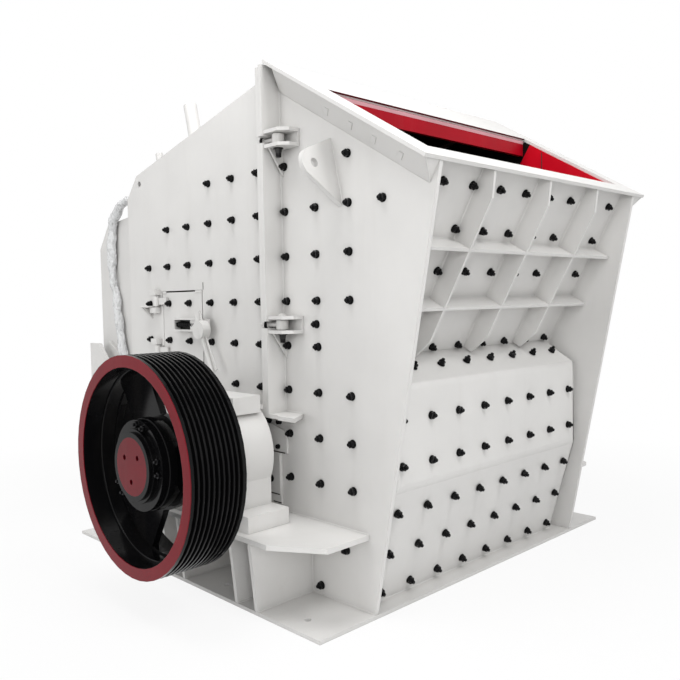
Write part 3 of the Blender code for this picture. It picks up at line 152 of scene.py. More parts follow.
# Sides of the machine, with the sign of their y
SIDES = (("drive", -1), ("free", 1))

# Clamps: half the height of a pair of ears, and the place of the swing bolts' pins
CLAMP_HALF = 0.051
EYE_X = 1.588
EYE_REACH = 0.0683
SWING_TIP = 0.010
SWING_TIP_SHARE = 0.55

# Camera, solved from the bolt grid of the side plate and the corners of the mouth
CAMERA_AT = Vector((4.906, -3.864, 1.707))
CAMERA_TURN = math.radians(45.88)
CAMERA_FALL = math.radians(3.06)
CAMERA_ROLL = math.radians(1.10)
CAMERA_LENS = 39.335


def here(x, y, z):
    """A place of the machine's own frame, in the frame's coordinates."""
    return ORIGIN + Vector((x, y, z))


def on_mouth(along, y, below):
    """A place in the machine's frame: a way along the mouth's slope and a depth below it."""
    point = MOUTH_START + MOUTH_ALONG * along - MOUTH_OUT * below
    return Vector((point.x, y, point.z))


# Settings that a user would change

def color_setting(name, about, default):
    """A colour of the panel."""
    return bpy.props.FloatVectorProperty(
        name=name, description=about, subtype="COLOR", default=default, min=0, max=1)


def length_setting(name, about, default):
    """A length of the panel, in metres."""
    return bpy.props.FloatProperty(name=name, description=about, default=default, unit="LENGTH")


class CrusherFinishSettings(bpy.types.PropertyGroup):
    """Colours of the machine's finishes."""
    paint: color_setting(
        "Plate paint", "Colour of the plates", (0.640, 0.632, 0.618))
    black: color_setting(
        "Black enamel", "Colour of the pulley and the bolts", (0.0040, 0.0040, 0.0045))
    crimson: color_setting(
        "Crimson enamel", "Colour of the pulley's rim face", (0.150, 0.0035, 0.0095))
    hopper: color_setting(
        "Hopper red", "Colour of the liners in the feed mouth", (0.560, 0.003, 0.014))
    lip: color_setting(
        "Lip red", "Colour of the folded liner at the back of the mouth", (0.380, 0.002, 0.012))
    steel: color_setting(
        "Cast steel", "Colour of the rotor and the aprons", (0.030, 0.026, 0.024))
    # Near-black painted shade that stands for the dark inside the chamber
    inside: color_setting(
        "Inside", "Near-black painted shade of the plates inside the chamber", (0.0050, 0.0048, 0.0046))
    film: color_setting(
        "Film", "Colour of the film round the hoses", (0.680, 0.685, 0.690))


class CrusherBoltSettings(bpy.types.PropertyGroup):
    """Sizes of the liner bolts."""
    pitch: length_setting("Pitch", "Distance from bolt to bolt", 0.26)
    feed_pitch: length_setting("Feed pitch", "Distance from bolt to bolt across the feed side", 0.2533)
    across: length_setting("Across corners", "Width of a nut over its corners", 0.043)
    height: length_setting("Height", "Height of a nut", 0.022)
    washer: length_setting("Washer radius", "Outer radius of a washer", 0.0240)
    stud: length_setting("Stud radius", "Radius of the stud in a nut", 0.0105)
    stud_reach: length_setting("Stud reach", "How far a stud stands out of its nut", 0.015)


class CrusherWeldSettings(bpy.types.PropertyGroup):
    """Sizes of the weld beads."""
    radius: length_setting("Radius", "Radius of a bead", 0.0065)
    ripple: length_setting("Ripple", "Distance from one ripple to the next", 0.022)


class CrusherFilmSettings(bpy.types.PropertyGroup):
    """How the film round the hoses is crumpled."""
    fold: length_setting("Fold size", "Length of a large fold", 0.070)
    depth: length_setting("Fold depth", "Depth of a large fold", 0.016)
    rings: bpy.props.IntProperty(
        name="Rings", description="Rings along the bundle", default=220, min=20)
    sides: bpy.props.IntProperty(
        name="Sides", description="Points round the bundle", default=40, min=8)


# Shapes

def link(name, data):
    """A new object in the scene."""
    piece = bpy.data.objects.new(name, data)
    bpy.context.scene.collection.objects.link(piece)
    return piece


def settle(name, bm, finish, body=BODY, smooth=None):
    """Turn a bmesh into a finished piece that rides on a body."""
    mesh = bpy.data.meshes.new(name)
    bm.to_mesh(mesh)
    bm.free()
    mesh.materials.append(FINISHES[finish])
    if smooth is not None:
        mesh.shade_smooth()
        mesh.set_sharp_from_angle(angle=smooth)
        for face in mesh.polygons:
            face.use_smooth = face.area < LARGE_FACE
    piece = link(name, mesh)
    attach(piece, body)
    return piece


def turn_to(direction):
    """Rotation that turns +Z into a direction."""
    return Vector(direction).to_track_quat("Z", "Y").to_matrix().to_4x4()


def cylinder(bm, start, end, radius, sides, far_radius=None):
    """A closed cylinder or cone between two points."""
    start = Vector(start)
    travel = Vector(end) - start
    far = radius if far_radius is None else far_radius
    made = bmesh.ops.create_cone(
        bm, cap_ends=True, segments=sides, radius1=radius, radius2=far, depth=travel.length,
        matrix=Matrix.Translation(start + travel / 2) @ turn_to(travel))
    return made["verts"]


def rod(bm, start, end, radius, sides=20, far_radius=None):
    """A cylinder between two places of the machine's frame."""
    return cylinder(bm, here(*start), here(*end), radius, sides, far_radius)


def block(bm, low, high, bevel=0.0):
    """A box between two corners in the machine's frame, with its edges broken."""
    low = here(*low)
    high = here(*high)
    matrix = Matrix.Translation((low + high) / 2) @ Matrix.Diagonal((*(high - low), 1))
    made = bmesh.ops.create_cube(bm, size=1, matrix=matrix)["verts"]
    if bevel:
        edges = list({edge for vert in made for edge in vert.link_edges})
        bmesh.ops.bevel(bm, geom=edges, offset=bevel, offset_type="OFFSET", segments=2, profile=0.5,
                        affect="EDGES", material=-1)
    return made


def prism(bm, outline, travel):
    """A flat outline of places pushed along one vector."""
    face = bm.faces.new([bm.verts.new(here(*point)) for point in outline])
    pushed = bmesh.ops.extrude_face_region(bm, geom=[face])["geom"]
    moved = [item for item in pushed if isinstance(item, bmesh.types.BMVert)]
    bmesh.ops.translate(bm, verts=moved, vec=travel)
    faces = {near for vert in moved for near in vert.link_faces} | {face}
    bmesh.ops.recalc_face_normals(bm, faces=list(faces))
    return moved


def spun(bm, profile, center, sides):
    """A closed profile of (radius, y) points turned about the Y axis through a place."""
    middle = here(*center)
    points = [bm.verts.new(middle + Vector((radius, y, 0))) for radius, y in profile]
    edges = [bm.edges.new(pair) for pair in zip(points, points[1:] + points[:1])]
    bmesh.ops.spin(bm, geom=points + edges, cent=middle, axis=(0, 1, 0), angle=math.tau, steps=sides,
                   use_merge=True, use_duplicate=False)
    bmesh.ops.remove_doubles(bm, verts=bm.verts, dist=0.00001)
    bmesh.ops.recalc_face_normals(bm, faces=bm.faces)


def tube(bm, sides, cuts, shape):
    """A closed tube with rings along it. shape(share, turn) gives each point's place."""
    before = len(bm.verts)
    made = bmesh.ops.create_cone(bm, cap_ends=True, segments=sides, radius1=1, radius2=1, depth=1)
    edges = {edge for vert in made["verts"] for edge in vert.link_edges}
    long_edges = [edge for edge in edges if abs(edge.verts[0].co.z - edge.verts[1].co.z) > 0.5]
    bmesh.ops.subdivide_edges(bm, edges=long_edges, cuts=cuts)
    for vert in list(bm.verts)[before:]:
        vert.co = shape(vert.co.z + 0.5, math.atan2(vert.co.y, vert.co.x))


def bead(bm, start, end, size, flow):
    """A weld bead between two places, with ripples and a wandering width."""
    first = here(*start)
    travel = here(*end) - first
    turn = turn_to(travel).to_3x3()
    cuts = max(3, round(travel.length / size.ripple * 2))

    def shape(share, angle):
        step = round(share * (cuts + 1))
        closing = 0.45 if step in (0, cuts + 1) else 1.0
        ripple = 1.0 if step % 2 else 0.80
        wander = 1.0 + 0.18 * noise.noise((flow, share * travel.length * 9.0, 0.0))
        radius = size.radius * closing * ripple * wander
        spoke = turn @ Vector((math.cos(angle) * radius, math.sin(angle) * radius, 0))
        return first + travel * share + spoke

    tube(bm, 6, cuts, shape)


def beads(name, lines, size):
    """Weld beads along many lines, in one piece."""
    bm = bmesh.new()
    for index, (start, end) in enumerate(lines):
        bead(bm, start, end, size, index * 1.7)
    return settle(name, bm, "grey_white_paint", BODY, math.radians(50))


def merged_copy(node):
    """A CAD node's mesh with its loose triangles joined and its flat faces made whole."""
    bm = bmesh.new()
    bm.from_mesh(frame["nodes"][node].data)
    bmesh.ops.remove_doubles(bm, verts=bm.verts, dist=0.00005)
    bmesh.ops.dissolve_limit(bm, angle_limit=math.radians(0.5), verts=bm.verts, edges=bm.edges)
    return bm


def skin(node, finish, body=BODY, smooth=math.radians(30)):
    """A smooth copy of a round CAD node that stands for it."""
    piece = settle(node + "_skin", merged_copy(node), finish, body, smooth)
    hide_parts(node)
    return piece


# Shared effects, as node groups

def group(name, inputs, outputs):
    """An empty shader node group with its sockets, and its two end nodes."""
    tree = bpy.data.node_groups.new(name, "ShaderNodeTree")
    for label, kind, value in inputs:
        socket = tree.interface.new_socket(label, in_out="INPUT", socket_type="NodeSocket" + kind)
        socket.default_value = value
    for label, kind in outputs:
        tree.interface.new_socket(label, in_out="OUTPUT", socket_type="NodeSocket" + kind)
    start = tree.nodes.new("NodeGroupInput")
    end = tree.nodes.new("NodeGroupOutput")
    return tree, start.outputs, end.inputs


def put(tree, socket, value):
    """Link a socket to another one, or give it a value."""
    if isinstance(value, bpy.types.NodeSocket):
        tree.links.new(value, socket)
    else:
        socket.default_value = value


def add(tree, kind, **values):
    """A node with its properties and inputs set. Linked sockets are given as sockets."""
    item = tree.nodes.new("ShaderNode" + kind)
    for key, value in values.items():
        if key[0].isupper():
            put(tree, item.inputs[key.replace("_", " ")], value)
        else:
            setattr(item, key, value)
    return item


def cloud(tree, place, scale, detail=3.0, roughness=0.55):
    """Soft noise over a place."""
    return add(tree, "TexNoise", Vector=place, Scale=scale, Detail=detail,
               Roughness=roughness).outputs["Fac"]


def ramp(tree, value, low, high, from_low=0.0, from_high=1.0):
    """A value taken from one range to another and kept inside it."""
    return add(tree, "MapRange", clamp=True, Value=value, From_Min=from_low, From_Max=from_high,
               To_Min=low, To_Max=high).outputs["Result"]


def maths(tree, operation, first, second):
    """One sum, product or comparison of two values."""
    item = add(tree, "Math", operation=operation)
    put(tree, item.inputs[0], first)
    put(tree, item.inputs[1], second)
    return item.outputs[0]


def mixed(tree, factor, first, second, mode="MIX"):
    """Two colours mixed by a factor."""
    item = add(tree, "Mix", data_type="RGBA", blend_type=mode)
    put(tree, item.inputs[0], factor)
    put(tree, item.inputs[6], first)
    put(tree, item.inputs[7], second)
    return item.outputs[2]


def vectors(tree, operation, first, second=None):
    """One sum, product or length of vectors."""
    item = add(tree, "VectorMath", operation=operation)
    put(tree, item.inputs[0], first)
    if second is not None:
        put(tree, item.inputs[1], second)
    return item.outputs


def object_place(tree):
    """The place of the shaded point on its object."""
    return add(tree, "TexCoord").outputs["Object"]


def beyond(tree, place, direction, point):
    """1 where a place lies further along a direction than a point of the machine's frame."""
    direction = Vector(direction)
    far = vectors(tree, "DOT_PRODUCT", place, direction)["Value"]
    return maths(tree, "GREATER_THAN", far, direction.dot(here(*point)))


def every(tree, masks):
    """1 where all masks are 1."""
    whole = masks[0]
    for mask in masks[1:]:
        whole = maths(tree, "MULTIPLY", whole, mask)
    return whole


def build_sprayed_group():
    """Sprayed paint: slow mottling, a fine orange peel and a rounded look on plate edges."""
    tree, given, result = group(
        "Sprayed paint",
        [("Color", "Color", (0.6, 0.6, 0.6, 1)), ("Mottle", "Float", 0.05), ("Peel", "Float", 0.2),
         ("Edge", "Float", 0.003), ("Roughness", "Float", 0.35)],
        [("Color", "Color"), ("Roughness", "Float"), ("Normal", "Vector")])
    place = object_place(tree)
    slow = cloud(tree, place, 2.3, 4.0)
    fine = cloud(tree, place, 160.0, 2.0)
    amount = maths(tree, "MULTIPLY", ramp(tree, slow, -1.0, 1.0, 0.3, 0.7), given["Mottle"])
    light = maths(tree, "ADD", amount, 1.0)
    gray = add(tree, "CombineColor", Red=light, Green=light, Blue=light).outputs[0]
    put(tree, result["Color"], mixed(tree, 1.0, given["Color"], gray, "MULTIPLY"))
    rough = maths(tree, "MULTIPLY", ramp(tree, slow, 0.85, 1.2, 0.3, 0.7), given["Roughness"])
    put(tree, result["Roughness"], rough)
    rounded = add(tree, "Bevel", samples=4, Radius=given["Edge"])
    bump = add(tree, "Bump", Distance=0.0006, Strength=given["Peel"], Height=fine,
               Normal=rounded.outputs["Normal"])
    put(tree, result["Normal"], bump.outputs["Normal"])
    return tree


def build_dust_group():
    """Dust and smears: thicker near the ground, with soft runs down the plates."""
    tree, given, result = group(
        "Workshop dust",
        [("Color", "Color", (0.6, 0.6, 0.6, 1)), ("Dust", "Color", (0.34, 0.30, 0.25, 1)),
         ("Amount", "Float", 0.2)],
        [("Color", "Color"), ("Mask", "Float")])
    place = object_place(tree)
    height = add(tree, "SeparateXYZ", Vector=place).outputs["Z"]
    low = ramp(tree, height, 1.0, 0.0, 0.0, 0.55)
    drawn = add(tree, "Mapping", Vector=place, Scale=(9.0, 9.0, 0.9)).outputs["Vector"]
    streaks = ramp(tree, cloud(tree, drawn, 1.0, 5.0, 0.6), 0.0, 1.0, 0.52, 0.80)
    specks = ramp(tree, cloud(tree, place, 22.0, 4.0, 0.7), 0.0, 1.0, 0.60, 0.82)
    mask = maths(tree, "ADD", maths(tree, "MULTIPLY", streaks, 0.55),
                 maths(tree, "MULTIPLY", specks, maths(tree, "ADD", low, 0.15)))
    mask = maths(tree, "MULTIPLY", mask, given["Amount"])
    put(tree, result["Mask"], mask)
    put(tree, result["Color"], mixed(tree, mask, given["Color"], given["Dust"]))
    return tree


def build_shade_and_grime_group():
    """Painted shade and grime in corners: a colour darkened where a mask says that a corner is closed in."""
    tree, given, result = group(
        "Corner shade and grime",
        [("Color", "Color", (0.6, 0.6, 0.6, 1)), ("Open", "Float", 1.0), ("Amount", "Float", 0.5)],
        [("Color", "Color")])
    closed = maths(tree, "MULTIPLY", ramp(tree, given["Open"], 1.0, 0.0, 0.15, 0.85), given["Amount"])
    dark = mixed(tree, 1.0, given["Color"], (0.16, 0.15, 0.14, 1), "MULTIPLY")
    put(tree, result["Color"], mixed(tree, closed, given["Color"], dark))
    return tree


def use_group(tree, name, **values):
    """A shared effect placed in a material, with its values."""
    item = tree.nodes.new("ShaderNodeGroup")
    item.node_tree = GROUPS[name]
    for key, value in values.items():
        put(tree, item.inputs[key], value)
    return item.outputs


def material(name):
    """A new material with its node tree and its shader."""
    made = bpy.data.materials.new(name)
    made.use_nodes = True
    return made, made.node_tree, made.node_tree.nodes["Principled BSDF"]


GROUPS = {}
FINISHES = {}
# Looks of the finishes; shade_and_grime sets how much painted shade and grime darkens closed-in corners, and reach
# how far it looks
PLATE = {"mottle": 0.035, "peel": 0.22, "edge": 0.0035, "roughness": 0.40, "dust": 0.10,
         "specular": 0.45, "shade_and_grime": 0.26, "reach": 0.06}
ENAMEL = {"mottle": 0.15, "peel": 0.12, "edge": 0.0028, "roughness": 0.14, "dust": 0.03,
          "specular": 0.12, "shade_and_grime": 0.5, "reach": 0.05}
# Colours of the painted highlight on the lip's fold, and reds of the mouth's edge and of the hub disc
LIP_HIGHLIGHT_COLOR = (0.78, 0.42, 0.46)
MOUTH_EDGE_COLOR = (0.10, 0.004, 0.010)
DISC_COLOR = (0.125, 0.004, 0.009)
RIM_FACE_WIDTH = 0.0675
RIM_PAINT_DEPTH = 0.004
DISC_RED_RADIUS = 0.160
LINER_LINE = (1.853, 0, 2.681)
LINER_LINE_OUT = (0.8396, 0, -0.5432)
LINER_RED_FOOT = 2.20
INSIDE_DEPTH = 0.014
# Depth and start of the painted highlight on the lip's fold
LIP_HIGHLIGHT_DROP = 0.046
LIP_HIGHLIGHT_START = 0.0305
RED = {"mottle": 0.12, "peel": 0.20, "edge": 0.0020, "roughness": 0.38, "dust": 0.06,
       "specular": 0.12, "shade_and_grime": 0.75, "reach": 0.22}


def painted(name, look, color, second=None, where=None):
    """A sprayed paint with dust on it and painted shade and grime in its corners, or two paints parted by a mask.
    """
    made, tree, shader = material(name)
    base = (*color, 1)
    if where:
        base = mixed(tree, where(tree, object_place(tree)), base, (*second, 1))
    spray = use_group(tree, "sprayed", Color=base, Mottle=look["mottle"], Peel=look["peel"],
                      Edge=look["edge"], Roughness=look["roughness"])
    dirt = use_group(tree, "dust", Color=spray["Color"], Amount=look["dust"])
    # Painted shade and grime: ambient occlusion darkens the colour in closed-in corners
    open_air = add(tree, "AmbientOcclusion", samples=8, Distance=look["reach"]).outputs["AO"]
    shade_and_grime = use_group(tree, "shade_and_grime", Color=dirt["Color"], Open=open_air, Amount=look["shade_and_grime"])
    put(tree, shader.inputs["Base Color"], shade_and_grime["Color"])
    put(tree, shader.inputs["Roughness"], maths(tree, "ADD", spray["Roughness"], dirt["Mask"]))
    put(tree, shader.inputs["Normal"], spray["Normal"])
    shader.inputs["Specular IOR Level"].default_value = look["specular"]
    return made


def on_pulley_rim(tree, place):
    """The outer face ring of the belt pulley."""
    centered = vectors(tree, "SUBTRACT", place, here(*AXIS))[0]
    split = add(tree, "SeparateXYZ", Vector=centered)
    flat = add(tree, "CombineXYZ", X=split.outputs["X"], Z=split.outputs["Z"])
    far = vectors(tree, "LENGTH", flat.outputs[0])["Value"]
    radius = (PULLEY_HIGH.x - PULLEY_LOW.x) / 2 - RIM_FACE_WIDTH
    ring = maths(tree, "GREATER_THAN", far, radius)
    return every(tree, [ring, beyond(tree, place, (0, -1, 0), (0, PULLEY_LOW.y + RIM_PAINT_DEPTH, 0))])


def on_disc_edge(tree, place):
    """The outer ring of the hub disc, left in the pulley's black."""
    centered = vectors(tree, "SUBTRACT", place, here(AXIS.x, PULLEY_LOW.y, AXIS.z))[0]
    far = vectors(tree, "LENGTH", centered)["Value"]
    return maths(tree, "GREATER_THAN", far, DISC_RED_RADIUS)


def on_black_thread(tree, place):
    """The lower end of each swing bolt's pin, below the ears."""
    low = beyond(tree, place, (0, 0, -1), (0, 0, clamp_height("low") - CLAMP_HALF))
    high = every(tree, [beyond(tree, place, (0, 0, -1), (0, 0, clamp_height("high") - CLAMP_HALF)),
                        beyond(tree, place, (0, 0, 1), (0, 0, clamp_height("low") + 0.5))])
    return maths(tree, "MAXIMUM", low, high)


def on_red_liner(tree, place):
    """The part of the side liners near the feed opening, in front of a slanting line; behind the line the liners
    get near-black painted shade.
    """
    return every(tree, [beyond(tree, place, LINER_LINE_OUT, LINER_LINE),
                        beyond(tree, place, (0, 0, 1), (0, 0, LINER_RED_FOOT))])


def in_chamber(tree, place):
    """The inner faces of the housing shell, which get near-black painted shade: under the roof, the chamfer and
    the rear wall.
    """
    roof = Vector((ROOF_SPLIT[0] - ROOF_REAR[0], 0, ROOF_SPLIT[1] - ROOF_REAR[1])).normalized()
    chamfer = Vector((ROOF_REAR[0] - REAR_X, 0, ROOF_REAR[1] - REAR_CORNER_Z)).normalized()
    masks = [beyond(tree, place, (1, 0, 0), (REAR_X + INSIDE_DEPTH, 0, 0))]
    for along in (roof, chamfer):
        inward = Vector((along.z, 0, -along.x))
        start = Vector((ROOF_REAR[0], 0, ROOF_REAR[1])) + inward * INSIDE_DEPTH
        masks.append(beyond(tree, place, inward, start))
    return every(tree, masks)


def behind_feed_wall(tree, place):
    """The inner face of the feed wall, which gets near-black painted shade."""
    start = Vector((WALL_FOOT[0], 0, WALL_FOOT[1])) - WALL_OUT * WALL_PLATE / 2
    return beyond(tree, place, -WALL_OUT, start)


def on_lip_highlight(tree, place):
    """The rounded fold at the top of the lip, where a pale band is painted as a highlight."""
    return every(tree, [beyond(tree, place, (0, 0, 1), (0, 0, LIP_HIGH.z - LIP_HIGHLIGHT_DROP)),
                        beyond(tree, place, (1, 0, 0), (LIP_LOW.x + LIP_HIGHLIGHT_START, 0, 0))])


def build_cast_steel(color):
    """Dark cast steel with a thin bloom of rust."""
    made, tree, shader = material("cast_steel")
    place = object_place(tree)
    patches = ramp(tree, cloud(tree, place, 6.0, 6.0, 0.65), 0.0, 1.0, 0.42, 0.66)
    put(tree, shader.inputs["Base Color"], mixed(tree, patches, (*color, 1), (0.050, 0.026, 0.015, 1)))
    put(tree, shader.inputs["Roughness"], ramp(tree, patches, 0.5, 0.8))
    shader.inputs["Metallic"].default_value = 0.2
    bump = add(tree, "Bump", Strength=0.35, Distance=0.002, Height=cloud(tree, place, 70.0, 4.0))
    put(tree, shader.inputs["Normal"], bump.outputs["Normal"])
    return made


def build_film(color):
    """Crumpled packing film: glossy, milky, with fine creases darkened by painted shade."""
    made, tree, shader = material("clear_film")
    place = object_place(tree)
    drawn = add(tree, "Mapping", Vector=place, Scale=(1.0, 1.0, 0.45)).outputs["Vector"]
    coarse = cloud(tree, drawn, 48.0, 6.0, 0.62)
    # Painted shade: the film's colour is darkened in its creases
    crease_shade = ramp(tree, coarse, 1.0, 0.0, 0.36, 0.48)
    put(tree, shader.inputs["Base Color"],
        mixed(tree, maths(tree, "MULTIPLY", crease_shade, 0.40), (*color, 1), (0.20, 0.20, 0.19, 1)))
    put(tree, shader.inputs["Roughness"], ramp(tree, coarse, 0.16, 0.34, 0.35, 0.65))
    bump = add(tree, "Bump", Strength=1.0, Distance=0.016, Height=coarse)
    put(tree, shader.inputs["Normal"], bump.outputs["Normal"])
    shader.inputs["Coat Weight"].default_value = 0.4
    shader.inputs["Coat Roughness"].default_value = 0.12
    return made


# Operators, one for each group of like pieces

class CRUSHER_OT_finishes(bpy.types.Operator):
    """Make the finishes and give every CAD node its own"""
    bl_idname = "crusher.finishes"
    bl_label = "Paint the plates"

    def execute(self, context):
        colors = context.scene.crusher_finish
        GROUPS["sprayed"] = build_sprayed_group()
        GROUPS["dust"] = build_dust_group()
        GROUPS["shade_and_grime"] = build_shade_and_grime_group()
        for name, look, color, second, where in (
                ("grey_white_paint", PLATE, colors.paint, None, None),
                # The chamber shade colour is near-black painted shade on the inner faces and behind the liners'
                # slanting line
                ("shell_paint", PLATE, colors.paint, colors.inside, in_chamber),
                ("wall_paint", PLATE, colors.paint, colors.inside, behind_feed_wall),
                ("gloss_black_paint", ENAMEL, colors.black, None, None),
                ("pulley_enamel", ENAMEL, colors.black, colors.crimson, on_pulley_rim),
                ("swing_bolt_paint", PLATE, colors.paint, colors.black, on_black_thread),
                ("crimson_paint", RED, colors.hopper, None, None),
                ("liner_red", RED, colors.inside, colors.hopper, on_red_liner),
                # The lip's second colour is a painted highlight on its fold
                ("lip_crimson", RED, colors.lip, LIP_HIGHLIGHT_COLOR, on_lip_highlight),
                ("edge_crimson", RED, MOUTH_EDGE_COLOR, None, None),
                ("disc_crimson", ENAMEL, DISC_COLOR, colors.black, on_disc_edge)):
            FINISHES[name] = painted(name, look, color, second, where)
        FINISHES["cast_steel"] = build_cast_steel(colors.steel)
        FINISHES["clear_film"] = build_film(colors.film)
        slots = {entry["node"]: entry["material_slot"] for entry in frame["record"]["subparts"]}
        special = {"hub_disc": "disc_crimson", "mouth_lip": "lip_crimson",
                   "side_liner_drive": "liner_red", "side_liner_free": "liner_red",
                   "housing_shell": "shell_paint", "feed_wall": "wall_paint"}
        for name, item in frame["nodes"].items():
            finish = special.get(name, slots[name])
            if name.startswith("swing_bolt"):
                finish = "swing_bolt_paint"
            item.data.materials.clear()
            item.data.materials.append(FINISHES[finish])
        return {"FINISHED"}


SIDE_ROWS = ((3, 4, 5, 6, 8), range(1, 9), range(0, 9), range(0, 9), range(0, 8), range(4, 9),
             (6, 7, 8), (6, 7, 8))
SIDE_TOP_ROW = 2.487
SIDE_EXTRAS = ((2.328, 2.226), (1.809, 1.575), (2.019, 0.327), (1.807, 0.075), (1.361, 0.990))
SEAL_BOLTS = ((1.382, 0.632),)
SMALL_STUDS = ((1.465, 0.986), (1.458, 0.836))
DOOR_SPAN = ((0.155, 0.675), (1.300, 1.795))
FEED_FIRST_Y = -0.872
FEED_PER_ROW = 8
BELLY_FIRST_Y = -0.903
BELLY_PITCH = 0.250
WALL_ROW_Z = (2.297, 2.081, 1.861, 1.664, 1.420)
BELLY_ROWS = ((1.320, "top"), (1.061, "face"), (0.812, "face"), (0.552, "foot"), (0.315, "foot"),
              (0.085, "foot"))


def bolt_mesh(size):
    """One liner bolt end at the origin: washer, nut with a chamfered top, and stud."""
    bm = bmesh.new()
    washer = 0.004
    cylinder(bm, (0, 0, -0.001), (0, 0, washer), size.washer, 20)
    top = washer + size.height
    shoulder = washer + size.height * 0.86
    half = size.across / 2
    nut = cylinder(bm, (0, 0, washer), (0, 0, shoulder), half, 6)
    cap = max((face for vert in nut for face in vert.link_faces),
              key=lambda face: face.calc_center_median().z)
    bmesh.ops.inset_individual(bm, faces=[cap], thickness=half * 0.16, depth=top - shoulder)
    neck = top + size.stud_reach * 0.8
    cylinder(bm, (0, 0, top - 0.002), (0, 0, neck), size.stud, 12)
    cylinder(bm, (0, 0, neck), (0, 0, top + size.stud_reach), size.stud, 12, size.stud * 0.72)
    mesh = bpy.data.meshes.new("liner_bolt")
    bm.to_mesh(mesh)
    bm.free()
    return mesh


def bolts(name, places, size, body=BODY, seed=5, scale=1.0):
    """Many bolts in one piece. Each place is a point and the direction that the bolt faces."""
    chance = random.Random(seed)
    one = bolt_mesh(size)
    bm = bmesh.new()
    for point, direction in places:
        before = len(bm.verts)
        bm.from_mesh(one)
        spin = Matrix.Rotation(chance.uniform(0, math.tau), 4, "Z") @ Matrix.Scale(scale, 4)
        bmesh.ops.transform(bm, verts=list(bm.verts)[before:],
                            matrix=Matrix.Translation(here(*point)) @ turn_to(direction) @ spin)
    bpy.data.meshes.remove(one)
    return settle(name, bm, "gloss_black_paint", body, math.radians(35))


class CRUSHER_OT_side_bolts(bpy.types.Operator):
    """Put the liner bolts on both side plates and on the inspection door"""
    bl_idname = "crusher.side_bolts"
    bl_label = "Side bolts"

    def execute(self, context):
        size = context.scene.crusher_bolts
        spots = [(column * size.pitch, SIDE_TOP_ROW - row * size.pitch)
                 for row, columns in enumerate(SIDE_ROWS) for column in columns]
        spots += SIDE_EXTRAS
        (left, right), (foot, head) = DOOR_SPAN
        on_door = [spot for spot in spots if left < spot[0] < right and foot < spot[1] < head]
        on_plate = [spot for spot in spots if spot not in on_door]
        on_seal = [((x, SEAL_LOW.y, z), (0, -1, 0)) for x, z in SEAL_BOLTS]
        bolts("side_bolts_drive", [((x, -HALF, z), (0, -1, 0)) for x, z in on_plate] + on_seal, size,
              seed=3)
        bolts("side_bolts_free", [((x, HALF, z), (0, 1, 0)) for x, z in spots], size, seed=4)
        bolts("door_bolts", [((x, -HALF, z), (0, -1, 0)) for x, z in on_door], size, "door", 6)
        bm = bmesh.new()
        for x, z in SMALL_STUDS:
            rod(bm, (x, SEAL_LOW.y + 0.010, z), (x, SEAL_LOW.y - 0.014, z), 0.017, 14, 0.014)
        settle("seal_studs", bm, "gloss_black_paint", BODY, math.radians(35))
        return {"FINISHED"}


class CRUSHER_OT_feed_bolts(bpy.types.Operator):
    """Put the liner bolts on the feed wall and on the belly panel"""
    bl_idname = "crusher.feed_bolts"
    bl_label = "Feed side bolts"

    def execute(self, context):
        size = context.scene.crusher_bolts
        across = [FEED_FIRST_Y + size.feed_pitch * index for index in range(FEED_PER_ROW)]
        wall = []
        for z in WALL_ROW_Z:
            x = WALL_FOOT[0] + (z - WALL_FOOT[1]) * math.tan(WALL_LEAN)
            wall += [((x, y, z), WALL_OUT) for y in across]
        bolts("feed_wall_bolts", wall, size, seed=7)
        slopes = {"top": (WALL_FOOT, BELLY_TOP), "face": (BELLY_TOP, BELLY_FOLD),
                  "foot": (BELLY_FOLD, BELLY_FOOT)}
        belly = []
        for z, part in BELLY_ROWS:
            (x0, z0), (x1, z1) = slopes[part]
            out = Vector((z0 - z1, 0, x1 - x0)).normalized()
            x = x0 + (x1 - x0) * (z - z0) / (z1 - z0)
            belly += [((x, BELLY_FIRST_Y + BELLY_PITCH * index, z), out) for index in range(FEED_PER_ROW)]
        bolts("belly_bolts", belly, size, seed=8)
        return {"FINISHED"}


# Foot line of a lifting lug on its plate, as (x, z)
LUG_HEAD = (1.938, 2.585)
LUG_FOOT = (2.020, 2.213)


def side_weld_lines(side):
    """Welds of the split flanges, the shelves, the base and the bearing seat on one side plate."""
    wall = side * HALF
    head = MOUTH_START.z - 0.040
    seam = SPLIT_X + FLANGE_PLATE
    shell = SPLIT_X - FLANGE_PLATE
    under = SPLIT_Z - SHELF_PLATE
    over = SPLIT_Z + SHELF_PLATE
    lines = [((seam, wall, SPLIT_Z), (seam, wall, head)), ((shell, wall, over), (shell, wall, head)),
             ((REAR_X, wall, under), (SHELF_END_X, wall, under)),
             ((seam, wall, SPLIT_Z), (SHELF_END_X, wall, SPLIT_Z)),
             ((REAR_X, wall, over), (shell, wall, over)),
             ((REAR_X, wall, BASE_HIGH.z), (FRONT_FOOT_X, wall, BASE_HIGH.z))]
    for z in (SEAT_HIGH.z, SEAT_UNDER):
        lines.append(((SEAT_LOW.x, wall, z), (SEAT_HIGH.x, wall, z)))
    reach = wall + side * GUSSET_REACH
    for offset in SEAT_GUSSETS:
        for face in (-1, 1):
            x = AXIS.x + offset + face * GUSSET_PLATE / 2
            lines += [((x, wall, BASE_HIGH.z), (x, reach, BASE_HIGH.z)),
                      ((x, wall, BASE_HIGH.z), (x, wall, SEAT_UNDER)),
                      ((x, wall, SEAT_UNDER), (x, reach, SEAT_UNDER))]
    for face in (-1, 1):
        lug = Vector((LUG_HEAD[0], wall, LUG_HEAD[1])), Vector((LUG_FOOT[0], wall, LUG_FOOT[1]))
        shift = Vector((face * 0.015, 0, face * 0.003))
        lines.append((tuple(lug[0] + shift), tuple(lug[1] + shift)))
    return lines


